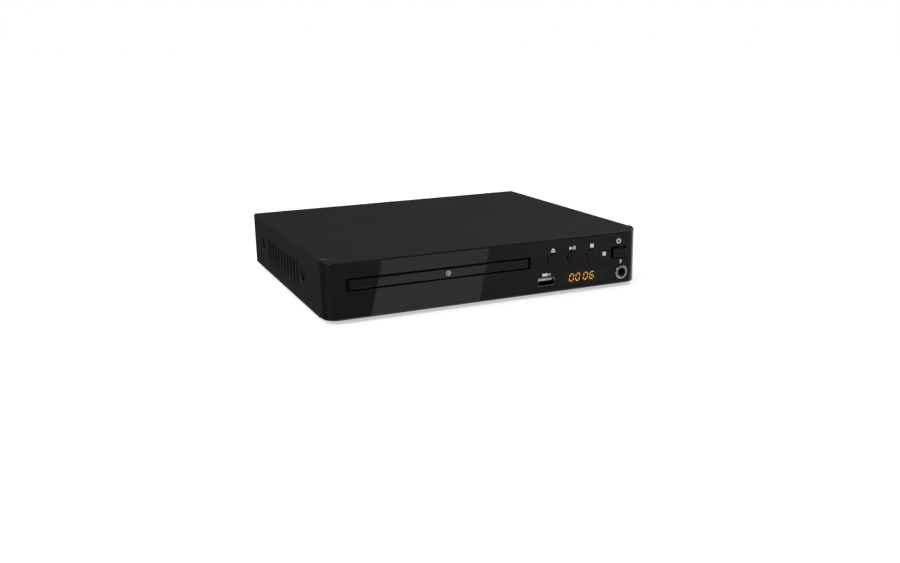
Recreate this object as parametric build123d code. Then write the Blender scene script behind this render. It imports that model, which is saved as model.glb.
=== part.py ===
"""A slim disc player: steel cover and chassis, glossy moulded front, a sliding disc tray with its geared drive,
a tilting spindle and pickup unit, three round buttons, a power button, front sockets and rear sockets.

Frame: X to the viewer's right, Y from the front panel towards the rear, Z up. The origin is at the centre of the
footprint, on the surface that the rubber feet stand on. All sizes are in millimetres.
"""
from build123d import *
from math import acos, asin, atan2, cos, degrees, pi, radians, sin, sqrt, tan
import os

# Overall sizes of the case
BODY_WIDTH = 230.0
BODY_DEPTH = 194.0
BODY_HEIGHT = 38.5
SHEET = 0.8
SHEET_GAP = 0.15
BEND_RADIUS = 1.6

# Rubber feet
FOOT_HEIGHT = 2.5
FOOT_RADIUS = 6.0
FOOT_STUD_RADIUS = 2.0
FOOT_INSET_X = 20.0
FOOT_INSET_Y = 24.0

# Moulded front
BEZEL_WALL = 2.2
BEZEL_CORNER = 9.2
BEZEL_SIDE_DEPTH = 12.0
BEZEL_RIM_DEPTH = 7.3
BEZEL_RIM_DROP = 1.6
BEZEL_EDGE = 1.2
COVER_TONGUE_INSET = 5.5
SEAM = 0.25
CLIP_LENGTH = 8.0
CLIP_WIDTH = 12.0
CLIP_THICKNESS = 1.8
CLIP_LEFT_INSET = 28.5
CLIP_MIDDLE = 20.0
CLIP_RIGHT_INSET = 48.0

# Disc tray and its door
DISC_RADIUS = 60.0
DISC_CLEARANCE = 0.75
SMALL_DISC_RADIUS = 40.5
TRAY_SIDE_MARGIN = 15.5
TRAY_WIDTH = 126.6
TRAY_THICKNESS = 6.2
TRAY_UNDERSIDE = 19.45
TRAY_FRONT = 2.4
TRAY_REAR_GAP = 3.8
TRAY_SKIRT = 2.0
TRAY_FRONT_WALL = 6.6
TRAY_FLOOR = 1.6
DISC_CENTRE_DEPTH = 68.0
DISC_RECESS = 2.4
SMALL_RECESS = 0.7
TRAY_SLOT_HALF = 24.0
TRAY_SLOT_FRONT = 20.0
TRAY_TAIL = 8.5
TRAY_CLEARANCE = 0.4
DOOR_HEIGHT = 5.9
DOOR_INSET = 0.45
DOOR_PROUD = 0.4
DOOR_GAP_X = 2.0
DOOR_GAP_Z = 1.2

# Round buttons, power button and standby light, measured from the body's right side and underside
BUTTON_RADIUS = 4.1
BUTTON_GAP = 0.25
BUTTON_PITCH = 15.35
PLAY_BUTTON_INSET = 53.8
BUTTON_HEIGHT = 22.9
BUTTON_PROUD = 0.9
BUTTON_TRAVEL = 0.6
BUTTON_FLANGE = 1.0
BUTTON_FLANGE_RIM = 0.9
POWER_INSET = 16.3
POWER_HEIGHT = 22.7
POWER_SIZE_X = 10.6
POWER_SIZE_Z = 6.5
POWER_PROUD = 1.8
POWER_TRAVEL = 1.6
POWER_GAP = 1.0
POWER_BEVEL = 0.3
PLUNGER = 0.9
PLUNGER_FIT = 0.1
LIGHT_INSET = 28.4
LIGHT_HEIGHT = 22.9
LIGHT_SIZE = 2.7

# Front sockets and display
USB_INSET = 73.8
USB_HEIGHT = 7.9
USB_WIDTH = 13.1
USB_TALL = 5.7
USB_SHELL = 0.3
USB_RECESS = 0.8
USB_GAP = 0.25
TONGUE_WIDTH = 11.1
TONGUE_TALL = 1.84
TONGUE_SETBACK = 2.2
MIC_INSET = 14.5
MIC_HEIGHT = 8.5
MIC_BORE_RADIUS = 3.2
MIC_BARREL_RADIUS = 3.9
MIC_NUT_RADIUS = 4.75
MIC_NUT_PROUD = 1.3
MIC_NUT_LIP = 0.6
MIC_BOSS_RADIUS = 5.7
MIC_BODY_WIDTH = 11.0
MIC_BODY_TALL = 11.6
MIC_BODY_FRONT = 5.8
MIC_BODY_DEPTH = 20.0
WINDOW_INSET = 43.9
WINDOW_HEIGHT = 8.2
WINDOW_WIDTH = 34.0
WINDOW_TALL = 9.8
WINDOW_GAP = 0.08
WINDOW_FLANGE = 1.0
DIGITS_OFF_CENTRE = 1.1
DIGIT_PITCH = 5.0
DIGIT_PAIR_GAP = 1.3
DIGIT_WIDTH = 3.6
DIGIT_TALL = 5.5
SEGMENT = 0.62
SEGMENT_DEPTH = 0.3
DIGIT_LEAN = 8.0
DIGITS_LIT = "0006"
DISPLAY_WIDTH = 25.0
DISPLAY_TALL = 9.6

# Circuit boards
BOARD = 1.6
BOARD_INSET = 72.5
FRONT_BOARD_LEFT_INSET = 81.0
FRONT_BOARD_DEPTH = 14.0
FRONT_BOARD_RIGHT_INSET = 4.5
BOARD_HEIGHT = 5.8
POWER_BOARD_INSET = 5.5
POWER_BOARD_FRONT = 38.0
POWER_BOARD_LENGTH = 62.0
MAIN_BOARD_WIDTH = 44.5
MAIN_BOARD_FRONT = 105.0
STANDOFF_RADIUS = 3.0
SCREW_RADIUS = 1.5
SCREW_FIT = 0.05
HEAD_RADIUS = 2.9
HEAD_HEIGHT = 1.8
BOARD_SCREW_INSET = 4.0
CORE_LENGTH = 24.0
CORE_WIDTH = 20.0
CORE_HEIGHT = 16.0
CORE_ARM = 4.0
CORE_LIFT = 2.0
LARGE_CAN_RADIUS = 8.0
LARGE_CAN_HEIGHT = 20.0
SMALL_CAN_RADIUS = 4.0
SMALL_CAN_HEIGHT = 12.0
SMALL_CAN_PITCH = 13.0
CAN_INSET = 9.6
LARGE_CAN_BACK = 22.0
COOLER_WIDTH = 16.0
COOLER_HEIGHT = 18.0
COOLER_PLATE = 2.0
COOLER_FIN = 1.2
COOLER_FIN_LENGTH = 7.0
COOLER_FRONT = 13.0
CHIP_SIZE = 15.0
CHIP_HEIGHT = 1.4
CHIP_COOLER = 17.0
CHIP_COOLER_BASE = 1.6
CHIP_COOLER_HEIGHT = 6.6
SMALL_CHIP_HEIGHT = 1.2
SMALL_CHIP_ROW = 16.0
MEMORY_LENGTH = 10.0
MEMORY_WIDTH = 6.0
MEMORY_OFFSET = 4.0
FLASH_LENGTH = 8.0
FLASH_WIDTH = 5.0
CRYSTAL_LENGTH = 9.0
CRYSTAL_WIDTH = 4.0
CRYSTAL_HEIGHT = 3.2
CRYSTAL_OFFSET = 13.0
RIBBON_SOCKET_LENGTH = 24.0
RIBBON_SOCKET_WIDTH = 5.0
RIBBON_SOCKET_HEIGHT = 4.2
FRONT_SOCKET_LENGTH = 20.0
FRONT_SOCKET_HEIGHT = 5.0
SOCKET_EDGE_INSET = 4.0
BOARD_CAN_RADIUS = 2.5
BOARD_CAN_HEIGHT = 7.0
BOARD_CAN_PITCH = 7.0
BOARD_CAN_INSET = 5.0
SOCKET_SCREW_INSET = 18.0

# Rear sockets
RCA_PITCH = 14.0
RCA_FIRST_INSET = 50.0
RCA_HEIGHT = 11.8
RCA_RADIUS = 4.15
RCA_STEP = 0.25
RCA_HOLE_RADIUS = 1.6
RCA_LENGTH = 8.3
RCA_RING_RADIUS = 5.3
RCA_RING_PROUD = 1.2
HDMI_INSET = 64.3
HDMI_HEIGHT = 12.4
HDMI_WIDTH = 15.0
HDMI_TALL = 5.6
INLET_INSET = 15.5
INLET_HEIGHT = 15.0
INLET_WIDTH = 20.0
INLET_TALL = 13.0
INLET_DEPTH = 17.0
INLET_PIN_PITCH = 8.6
INLET_PIN_RADIUS = 1.2
INLET_LOBE_RADIUS = 4.3
INLET_SOCKET_DEPTH = 12.0
INLET_FLANGE = 1.2
SOCKET_GAP = 0.2

# Vents, dimples and cover screws
VENT_COUNT = 10
VENT_PITCH = 8.6
VENT_FIRST = 67.6
VENT_WIDTH = 4.0
VENT_LOW = 9.4
VENT_HIGH = 25.8
VENT_PANEL_MARGIN = 2.2
VENT_PANEL_DEPTH = 0.6
VENT_PANEL_CORNER = 3.0
DIMPLE_RADIUS = 7.0
DIMPLE_FLOOR_RADIUS = 4.6
DIMPLE_DEPTH = 2.0
DIMPLE_HEIGHT = 17.8
DIMPLE_FRONT = 53.6
DIMPLE_REAR = 166.8
REAR_FLANGE = 6.0
REAR_SCREW_INSET = 24.5
COVER_SCREW_LENGTH = 5.0
SIDE_FLANGE = 7.0
SIDE_TAB_HALF = 8.0
SIDE_TAB_HEIGHT = 25.0
FLOOR_VENT_COUNT = 7
FLOOR_VENT_PITCH = 7.0
FLOOR_VENT_WIDTH = 2.6
FLOOR_VENT_LENGTH = 34.0

# Loader frame
FRAME_WALL = 2.2
FRAME_FRONT = 10.0
FRAME_TAIL = 10.0
FRAME_LOW = 3.0
FRAME_TOP = 28.5
DECK_TOP = 15.0
DECK = 2.0
LEDGE = 3.0
LEDGE_THICKNESS = 1.6
LIP = 2.4
LIP_THICKNESS = 1.2
LUG = 7.4
LUG_THICKNESS = 2.0
LUG_INSET = 14.0
BRIDGE_WIDTH = 44.0
BRIDGE_THICKNESS = 1.4

# Tray drive gears: module, pressure angle and play between the teeth
GEAR_MODULE = 1.0
PRESSURE_ANGLE = 25.0
BACKLASH = 0.16
TRAY_PINION_TEETH = 13
TRAY_WHEEL_TEETH = 20
PULLEY_PINION_TEETH = 14
WHEEL_GEAR_FACE = 1.6
PINION_GAP = 0.1
RACK_BACK = 1.6
CHANNEL_GAP = 0.5
TRAY_GEAR_DEPTH = 23.0
AXLE_RADIUS = 1.5
AXLE_FIT = 0.06
WHEEL_RADIUS = 10.0
WHEEL_FLANGE = 0.9
WHEEL_FACE = 2.1
DECK_GAP = 0.2
MOTOR_PULLEY_RADIUS = 2.5
MOTOR_OFF_CENTRE = 6.8
MOTOR_WALL_GAP = 0.8
BELT = 1.0
BELT_PLAY = 0.3
MOTOR_RADIUS = 10.5
MOTOR_HEIGHT = 10.0
MOTOR_SHAFT = 1.0

# Spindle and pickup unit, drawn raised and level, then lowered about its hinge
HINGE_INSET = 4.0
HINGE_HEIGHT = 14.4
HINGE_BOSS = 4.0
SPINDLE_DROP = 7.9
DISC_LIFT = 1.75
TURNTABLE_RADIUS = 14.8
TURNTABLE_RIM = 2.5
CONE_HEIGHT = 1.5
CONE_RADIUS = 7.3
PLATE = 1.2
PLATE_HALF = 30.0
PLATE_UNDER_SEAT = 7.6
SPINDLE_MOTOR_RADIUS = 12.0
SPINDLE_MOTOR_HEIGHT = 7.2
UNIT_LEFT = 52.6
UNIT_RIGHT = 36.0
UNIT_NOSE = 28.0
UNIT_TAIL = 18.0
UNIT_BAR = 3.4
UNIT_THICKNESS = 4.0
UNIT_GAP = 0.8
DAMPER_RADIUS = 4.2
DAMPER_HEIGHT = 1.5
GUIDE_HALF = 24.0
GUIDE_RADIUS = 1.5
PICKUP_HOME = 24.0
PICKUP_TRAVEL = 34.0
PICKUP_HALF = 17.0
PICKUP_FRONT = 9.0
PICKUP_BACK = 12.0
LENS_RADIUS = 2.2
LENS_BELOW_DISC = 1.2
LENS_PLAY = 0.8
FEED_MODULE = 0.8
FEED_PINION_TEETH = 12
FEED_WHEEL_TEETH = 24
FEED_RACK_OFFSET = 31.0
FEED_RACK_WIDTH = 3.4
FEED_GEAR_BEHIND = 38.0
FEED_FACE = 1.8
FEED_MOTOR_RADIUS = 7.0
FEED_MOTOR_HEIGHT = 3.2
CAM_TRAVEL = 18.0
CAM_THICKNESS = 2.4
CAM_LENGTH = 44.0
CAM_RIM = 1.0
CAM_GAP = 0.3
CAM_UNIT_GAP = 1.5
CAM_PEG_RADIUS = 1.2
CAM_PEG_PLAY = 0.2
CAM_PEG_X = -2.0
CAM_HOOK = 4.0

# Disc clamp
CLAMP_RADIUS = 14.0
CLAMP_NECK = 10.5
CLAMP_FLANGE = 14.5
CLAMP_PLATE = 1.4
CLAMP_CLEARANCE = 0.35

# Derived places that several pieces share
FRONT_Y = -(BODY_DEPTH + RCA_LENGTH - POWER_PROUD) / 2
BASE_Z = FOOT_HEIGHT
TOP_Z = BASE_Z + BODY_HEIGHT
HALF_WIDTH = BODY_WIDTH / 2
PLAY_BUTTON_X = HALF_WIDTH - PLAY_BUTTON_INSET
POWER_X = HALF_WIDTH - POWER_INSET
LIGHT_X = HALF_WIDTH - LIGHT_INSET
USB_X = HALF_WIDTH - USB_INSET
MIC_X = HALF_WIDTH - MIC_INSET
WINDOW_X = HALF_WIDTH - WINDOW_INSET
DIGIT_CENTRE_X = WINDOW_X - DIGITS_OFF_CENTRE
BOARD_LEFT = HALF_WIDTH - BOARD_INSET
POWER_BOARD_RIGHT = HALF_WIDTH - POWER_BOARD_INSET
FRONT_BOARD_LEFT = HALF_WIDTH - FRONT_BOARD_LEFT_INSET
FRONT_BOARD_RIGHT = HALF_WIDTH - FRONT_BOARD_RIGHT_INSET
RCA_FIRST_X = HALF_WIDTH - RCA_FIRST_INSET
HDMI_X = HALF_WIDTH - HDMI_INSET
INLET_X = HALF_WIDTH - INLET_INSET
FLOOR_Z = BASE_Z + SHEET
CEILING_Z = TOP_Z - SHEET
TRAY_LOW = BASE_Z + TRAY_UNDERSIDE
TRAY_HIGH = TRAY_LOW + TRAY_THICKNESS
TRAY_CEILING = TRAY_HIGH - DISC_RECESS - TRAY_FLOOR
DOOR_Z = TRAY_LOW + TRAY_THICKNESS / 2
TRAY_HALF = TRAY_WIDTH / 2
TRAY_X = TRAY_SIDE_MARGIN + TRAY_HALF - HALF_WIDTH
CHASSIS_HALF = HALF_WIDTH - SHEET - DIMPLE_DEPTH - SHEET_GAP
REAR_WALL_DEPTH = BODY_DEPTH - SHEET - SHEET_GAP
BOARD_Z = BASE_Z + BOARD_HEIGHT
UNIT_FRONT = DISC_CENTRE_DEPTH - UNIT_NOSE
UNIT_REAR = DISC_CENTRE_DEPTH + PICKUP_HOME + PICKUP_TRAVEL + PICKUP_BACK + UNIT_TAIL
HINGE_DEPTH = UNIT_REAR - HINGE_INSET
FRAME_REAR = UNIT_REAR + FRAME_TAIL
TRAY_LENGTH = FRAME_REAR - FRAME_WALL - TRAY_REAR_GAP - TRAY_FRONT
DECK_Z = BASE_Z + DECK_TOP
FRAME_INNER = TRAY_HALF + TRAY_CLEARANCE
FRAME_OUTER = FRAME_INNER + FRAME_WALL
FRAME_HIGH = BASE_Z + FRAME_TOP
CAM_DEPTH = UNIT_FRONT - CAM_UNIT_GAP - CAM_THICKNESS
DECK_FRONT_REACH = CAM_DEPTH - CAM_GAP
MOTOR_DEPTH = DECK_FRONT_REACH - FRAME_WALL - MOTOR_WALL_GAP - MOTOR_RADIUS
MOTOR_PULLEY_X = TRAY_X + MOTOR_OFF_CENTRE
FEED_GEAR_DEPTH = DISC_CENTRE_DEPTH + FEED_GEAR_BEHIND
TRAY_PINION_RADIUS = GEAR_MODULE * TRAY_PINION_TEETH / 2
TRAY_WHEEL_RADIUS = GEAR_MODULE * TRAY_WHEEL_TEETH / 2
PULLEY_PINION_RADIUS = GEAR_MODULE * PULLEY_PINION_TEETH / 2
RACK_X = TRAY_X - TRAY_HALF + TRAY_SKIRT + RACK_BACK + 1.15 * GEAR_MODULE
TRAY_GEAR_X = RACK_X + TRAY_PINION_RADIUS
PULLEY_GEAR_X = TRAY_GEAR_X + TRAY_WHEEL_RADIUS + PULLEY_PINION_RADIUS
WHEEL_GEAR_LOW = DECK_Z + DECK_GAP
BELT_WHEEL_LOW = WHEEL_GEAR_LOW + WHEEL_GEAR_FACE + DECK_GAP
PINION_LOW = TRAY_LOW + PINION_GAP
PINION_HIGH = TRAY_CEILING - PINION_GAP
SEAT_Z = TRAY_HIGH - DISC_RECESS + DISC_LIFT
PLATE_Z = SEAT_Z - PLATE_UNDER_SEAT
HINGE_Z = BASE_Z + HINGE_HEIGHT
UNIT_TILT = degrees(asin(SPINDLE_DROP / (HINGE_DEPTH - DISC_CENTRE_DEPTH)))
GUIDE_Z = PLATE_Z - 2.0
UNIT_TOP = PLATE_Z - DAMPER_HEIGHT
LENS_TOP = SEAT_Z - LENS_BELOW_DISC
FEED_PINION_RADIUS = FEED_MODULE * FEED_PINION_TEETH / 2
FEED_WHEEL_RADIUS = FEED_MODULE * FEED_WHEEL_TEETH / 2
FEED_GEAR_X = TRAY_X - FEED_RACK_OFFSET - FEED_PINION_RADIUS
FEED_MOTOR_DEPTH = FEED_GEAR_DEPTH - FEED_WHEEL_RADIUS - FEED_PINION_RADIUS
FEED_RACK_LOW = GUIDE_Z - FEED_FACE
FEED_WHEEL_TOP = FEED_RACK_LOW - 0.6
CAM_PEG_DEPTH = CAM_DEPTH + CAM_THICKNESS / 2
CAM_PEG_HIGH = UNIT_TOP - CAM_PEG_RADIUS - CAM_PEG_PLAY
BRIDGE_TOP = FRAME_HIGH + BRIDGE_THICKNESS


def at(depth):
    """The Y place of a point so far behind the front panel's face."""
    return FRONT_Y + depth


def block(x0, x1, y0, y1, z0, z1):
    """A box between two corners."""
    return Pos((x0 + x1) / 2, (y0 + y1) / 2, (z0 + z1) / 2) * Box(x1 - x0, y1 - y0, z1 - z0)


def centred(x, y, width, depth, z0, z1):
    """A box centred on x and y, standing from z0 to z1."""
    return block(x - width / 2, x + width / 2, y - depth / 2, y + depth / 2, z0, z1)


def post(x, y, z0, z1, radius):
    """A round bar along Z."""
    return Pos(x, y, (z0 + z1) / 2) * Cylinder(radius, z1 - z0)


def bar_y(x, z, y0, y1, radius):
    """A round bar along Y."""
    return Pos(x, (y0 + y1) / 2, z) * Rot(90, 0, 0) * Cylinder(radius, y1 - y0)


def bar_x(y, z, x0, x1, radius):
    """A round bar along X."""
    return Pos((x0 + x1) / 2, y, z) * Rot(0, 90, 0) * Cylinder(radius, x1 - x0)


def slab(sketch, z0, z1):
    """A flat sketch made solid between two heights."""
    return extrude(Pos(0, 0, z0) * sketch, z1 - z0)


def prism_y(sketch, y0, y1):
    """A sketch of (x, z) points made solid between two Y places."""
    return extrude(Plane(origin=(0, y1, 0), x_dir=(1, 0, 0), z_dir=(0, -1, 0)) * sketch, y1 - y0)


def prism_x(sketch, x0, x1):
    """A sketch of (y, z) points made solid between two X places."""
    return extrude(Plane(origin=(x0, 0, 0), x_dir=(0, 1, 0), z_dir=(1, 0, 0)) * sketch, x1 - x0)


def outline(points):
    """The filled polygon through the points."""
    return make_face(Polyline(*points, close=True))


def lowered(shape):
    """A piece of the spindle unit, turned down about the hinge from its raised place."""
    hinge = Location((0, at(HINGE_DEPTH), HINGE_Z))
    return hinge * Rot(UNIT_TILT, 0, 0) * hinge.inverse() * shape


def gear_outline(teeth, module, phase=0.0):
    """An involute gear's outline, with a tooth centred on the angle phase in degrees."""
    pitch = module * teeth / 2
    base = pitch * cos(radians(PRESSURE_ANGLE))
    tip = pitch + 0.9 * module
    root = pitch - 1.15 * module
    half = pi / (2 * teeth) - BACKLASH * module / (2 * pitch)
    roll = tan(radians(PRESSURE_ANGLE)) - radians(PRESSURE_ANGLE)
    start = max(base, root + 0.1 * module)
    steps = 4
    points = []
    for tooth in range(teeth):
        centre = radians(phase) + 2 * pi * tooth / teeth
        flank = []
        for step in range(steps + 1):
            radius = start + (tip - start) * step / steps
            lean = acos(min(1.0, base / radius))
            flank.append((radius, half + roll - (tan(lean) - lean)))
        side = [(root, flank[0][1])] + flank
        points += [(r * cos(centre - a), r * sin(centre - a)) for r, a in side]
        points += [(r * cos(centre + a), r * sin(centre + a)) for r, a in reversed(side)]
    return outline(points)


def rack_outline(x_line, y0, count, module, back, facing, tooth_at):
    """A rack along Y. Its teeth point to facing (+1 or -1 along X), with a tooth centred on tooth_at."""
    pitch = pi * module
    lean = tan(radians(PRESSURE_ANGLE))
    tip = 0.9 * module
    root = 1.15 * module
    half = pitch / 4 - BACKLASH * module / 2
    first = tooth_at + pitch * round((y0 - tooth_at) / pitch)
    low = first - pitch / 2
    high = first + pitch * (count - 0.5)
    points = [(x_line - facing * (root + back), low), (x_line - facing * root, low)]
    for tooth in range(count):
        centre = first + pitch * tooth
        points += [
            (x_line - facing * root, centre - half - root * lean),
            (x_line + facing * tip, centre - half + tip * lean),
            (x_line + facing * tip, centre + half - tip * lean),
            (x_line - facing * root, centre + half + root * lean),
        ]
    points += [(x_line - facing * root, high), (x_line - facing * (root + back), high)]
    return outline(points)


def screw(length):
    """A pan-head cross-recess screw standing head up, its head's underside at the origin."""
    head = Pos(0, 0, HEAD_HEIGHT / 2) * Cylinder(HEAD_RADIUS, HEAD_HEIGHT)
    head = fillet(head.edges().group_by(Axis.Z)[-1], HEAD_HEIGHT * 0.45)
    shank = Pos(0, 0, -length / 2) * Cylinder(SCREW_RADIUS, length)
    arm = HEAD_RADIUS * 1.1
    for turn in (0, 90):
        head -= Pos(0, 0, HEAD_HEIGHT) * Rot(0, 0, turn) * Box(arm, HEAD_RADIUS * 0.24, HEAD_HEIGHT)
    return head + shank


# The case


def front_bezel():
    """The moulded front: a hollow face with round corners, a sloped top rim and its openings."""
    y0 = at(0)
    y1 = at(BEZEL_SIDE_DEPTH)
    w = HALF_WIDTH
    plan = Pos(0, (y0 + y1 + BEZEL_CORNER * 2) / 2) * Rectangle(BODY_WIDTH, y1 - y0 + BEZEL_CORNER * 2)
    plan = fillet(plan.vertices().group_by(Axis.Y)[0], BEZEL_CORNER)
    shell = slab(plan, BASE_Z, TOP_Z)
    slope = outline([(y0 - 1, TOP_Z + 1), (y0 - 1, TOP_Z - BEZEL_RIM_DROP * (1 + 1 / BEZEL_RIM_DEPTH)),
                     (at(BEZEL_RIM_DEPTH), TOP_Z), (at(BEZEL_RIM_DEPTH), TOP_Z + 1)])
    shell -= prism_x(slope, -w - 1, w + 1)
    shell = fillet(shell.edges().filter_by(lambda e: e.center().Z < BASE_Z + 0.01 and e.center().Y < y1), BEZEL_EDGE)
    top_edges = [e for e in shell.edges() if e.center().Z > TOP_Z - BEZEL_RIM_DROP - 0.5
                 and e.center().Y < at(BEZEL_CORNER) and abs(e.center().Z - TOP_Z) > 0.01]
    shell = fillet(top_edges, BEZEL_EDGE)
    shell -= block(-w - 1, w + 1, y1, y1 + BEZEL_CORNER * 3, BASE_Z - 1, TOP_Z + 1)
    inner = Pos(0, (y0 + y1 + BEZEL_CORNER * 2) / 2 + BEZEL_WALL) * Rectangle(
        BODY_WIDTH - 2 * BEZEL_WALL, y1 - y0 + BEZEL_CORNER * 2)
    inner = fillet(inner.vertices().group_by(Axis.Y)[0], BEZEL_CORNER - BEZEL_WALL)
    shell -= slab(inner, BASE_Z + BEZEL_WALL, TOP_Z - BEZEL_WALL - BEZEL_RIM_DROP / 2)
    ledge = w - COVER_TONGUE_INSET + SEAM
    rebate = block(-ledge, ledge, at(BEZEL_RIM_DEPTH), y1 + 1, CEILING_Z - SHEET_GAP, TOP_Z + 1)
    shell -= fillet(rebate.edges().filter_by(Axis.Z).group_by(Axis.Y)[0], BEZEL_RIM_DEPTH / 2)
    for x in (CLIP_LEFT_INSET - HALF_WIDTH, CLIP_MIDDLE, HALF_WIDTH - CLIP_RIGHT_INSET):
        shell += centred(x, y1 + CLIP_LENGTH / 2 - 1, CLIP_WIDTH, CLIP_LENGTH + 2,
                         FLOOR_Z + SHEET_GAP, FLOOR_Z + SHEET_GAP + CLIP_THICKNESS)
    shell += mic_boss(inner)
    return parted_at_mouth(shell - bezel_openings())


def mouth_ends():
    """The left and right ends of the tray's mouth in the front."""
    half = TRAY_HALF - DOOR_INSET + DOOR_GAP_X
    return TRAY_X - half, TRAY_X + half


def parted_at_mouth(front):
    """The moulding as four solids that meet face to face at the mouth's ends, so collision leaves the mouth open."""
    left, right = mouth_ends()
    edge = HALF_WIDTH + 1
    back = at(BEZEL_SIDE_DEPTH + CLIP_LENGTH + 1)
    made = []
    for x0, x1 in ((-edge, left), (left, right), (right, edge)):
        made += (front & block(x0, x1, at(-1), back, BASE_Z - 1, TOP_Z + 1)).solids()
    return Compound(made)


def mic_boss(inner):
    """The flat round seat that the microphone socket's nut needs where the corner starts to curve."""
    boss = bar_y(MIC_X, BASE_Z + MIC_HEIGHT, at(0), at(BEZEL_CORNER), MIC_BOSS_RADIUS)
    return boss - slab(inner, BASE_Z, TOP_Z)


def bezel_openings():
    """Everything that the front wall is cut through for."""
    y0 = at(-1)
    y1 = at(BEZEL_WALL + 3)
    half_z = DOOR_HEIGHT / 2 + DOOR_GAP_Z
    cuts = block(*mouth_ends(), y0, y1, DOOR_Z - half_z, DOOR_Z + half_z)
    for x in button_places().values():
        cuts += bar_y(x, BASE_Z + BUTTON_HEIGHT, y0, y1, BUTTON_RADIUS + BUTTON_GAP)
    power = RectangleRounded(POWER_SIZE_X + 2 * POWER_GAP, POWER_SIZE_Z + 2 * POWER_GAP, POWER_GAP)
    power = Pos(POWER_X, BASE_Z + POWER_HEIGHT) * power
    cuts += prism_y(power, y0, y1)
    mouth = Plane(origin=(POWER_X, at(0), BASE_Z + POWER_HEIGHT), x_dir=(1, 0, 0), z_dir=(0, -1, 0))
    wide = RectangleRounded(POWER_SIZE_X + 2 * (POWER_GAP + POWER_BEVEL),
                            POWER_SIZE_Z + 2 * (POWER_GAP + POWER_BEVEL), POWER_GAP + POWER_BEVEL)
    throat = mouth.offset(-POWER_BEVEL)
    slim = RectangleRounded(POWER_SIZE_X + 2 * POWER_GAP, POWER_SIZE_Z + 2 * POWER_GAP, POWER_GAP)
    cuts += loft([mouth * wide, throat * slim])
    cuts += extrude(mouth * wide, 1)
    cuts += centred(LIGHT_X, at(1), LIGHT_SIZE + 2 * WINDOW_GAP, 6,
                    BASE_Z + LIGHT_HEIGHT - LIGHT_SIZE / 2 - WINDOW_GAP,
                    BASE_Z + LIGHT_HEIGHT + LIGHT_SIZE / 2 + WINDOW_GAP)
    usb = RectangleRounded(USB_WIDTH + 2 * USB_GAP, USB_TALL + 2 * USB_GAP, 2 * USB_GAP)
    cuts += prism_y(Pos(USB_X, BASE_Z + USB_HEIGHT) * usb, y0, y1)
    cuts += bar_y(MIC_X, BASE_Z + MIC_HEIGHT, y0, y1, MIC_BARREL_RADIUS + SCREW_FIT)
    window = RectangleRounded(WINDOW_WIDTH + 2 * WINDOW_GAP, WINDOW_TALL + 2 * WINDOW_GAP, 1.0)
    cuts += prism_y(Pos(WINDOW_X, BASE_Z + WINDOW_HEIGHT) * window, y0, y1)
    return cuts


def display_window():
    """The smoked window, flush with the front, with a flange behind the wall."""
    plug = Pos(WINDOW_X, BASE_Z + WINDOW_HEIGHT) * RectangleRounded(WINDOW_WIDTH, WINDOW_TALL, 1.0)
    flange = Pos(WINDOW_X, BASE_Z + WINDOW_HEIGHT) * RectangleRounded(WINDOW_WIDTH + 2, WINDOW_TALL + 2, 1.0)
    return prism_y(plug, at(0), at(BEZEL_WALL)) + prism_y(flange, at(BEZEL_WALL), at(BEZEL_WALL + WINDOW_FLANGE))


def side_places():
    """The depths of the two screws on each side."""
    return (DIMPLE_FRONT, DIMPLE_REAR)


def rear_screw_places():
    """The X places of the screws along the cover's rear flange."""
    return (REAR_SCREW_INSET - HALF_WIDTH, 0, HALF_WIDTH - REAR_SCREW_INSET)


def rear_screw_height():
    """How high the rear flange's screws sit."""
    return TOP_Z - REAR_FLANGE / 2


def top_cover():
    """The folded steel cover: top, two sides with vents and screw dimples, rear flange and lower hems."""
    w = HALF_WIDTH
    y0 = at(BEZEL_SIDE_DEPTH + SEAM)
    y1 = at(BODY_DEPTH)
    outer = block(-w, w, y0, y1, BASE_Z, TOP_Z)
    outer = fillet(outer.edges().filter_by(Axis.Y).group_by(Axis.Z)[-1], BEND_RADIUS)
    outer = fillet(outer.edges().group_by(Axis.Y)[-1].filter_by(Axis.X).group_by(Axis.Z)[-1], BEND_RADIUS * 0.6)
    inner = block(-w + SHEET, w - SHEET, y0 - 1, y1 - SHEET, BASE_Z - 1, CEILING_Z)
    inner = fillet(inner.edges().filter_by(Axis.Y).group_by(Axis.Z)[-1], BEND_RADIUS - SHEET)
    cover = outer - inner
    cover -= block(-w + SHEET, w - SHEET, y1 - SHEET - 0.5, y1 + 1, BASE_Z - 1, TOP_Z - REAR_FLANGE)
    reach = w - COVER_TONGUE_INSET
    tongue = block(-reach, reach, at(BEZEL_RIM_DEPTH + SEAM), y0 + 1, CEILING_Z, TOP_Z)
    cover += fillet(tongue.edges().filter_by(Axis.Z).group_by(Axis.Y)[0], BEZEL_RIM_DEPTH / 2 - SEAM)
    hem = DIMPLE_DEPTH + SHEET - SHEET_GAP
    for side in (-1, 1):
        x = side * w
        cover += block(min(x, x - side * hem), max(x, x - side * hem), y0, y1 - SHEET, BASE_Z, BASE_Z + SHEET)
        cover = with_vent_panel(cover, side)
        for slot in range(VENT_COUNT):
            y = at(VENT_FIRST + slot * VENT_PITCH)
            cover -= vent_slot(x, y)
        for depth in side_places():
            cover = with_dimple(cover, side, at(depth))
    for x in rear_screw_places():
        cover -= bar_y(x, rear_screw_height(), y1 - SHEET - 1, y1 + 1, SCREW_RADIUS + SCREW_FIT)
    return cover


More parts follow.
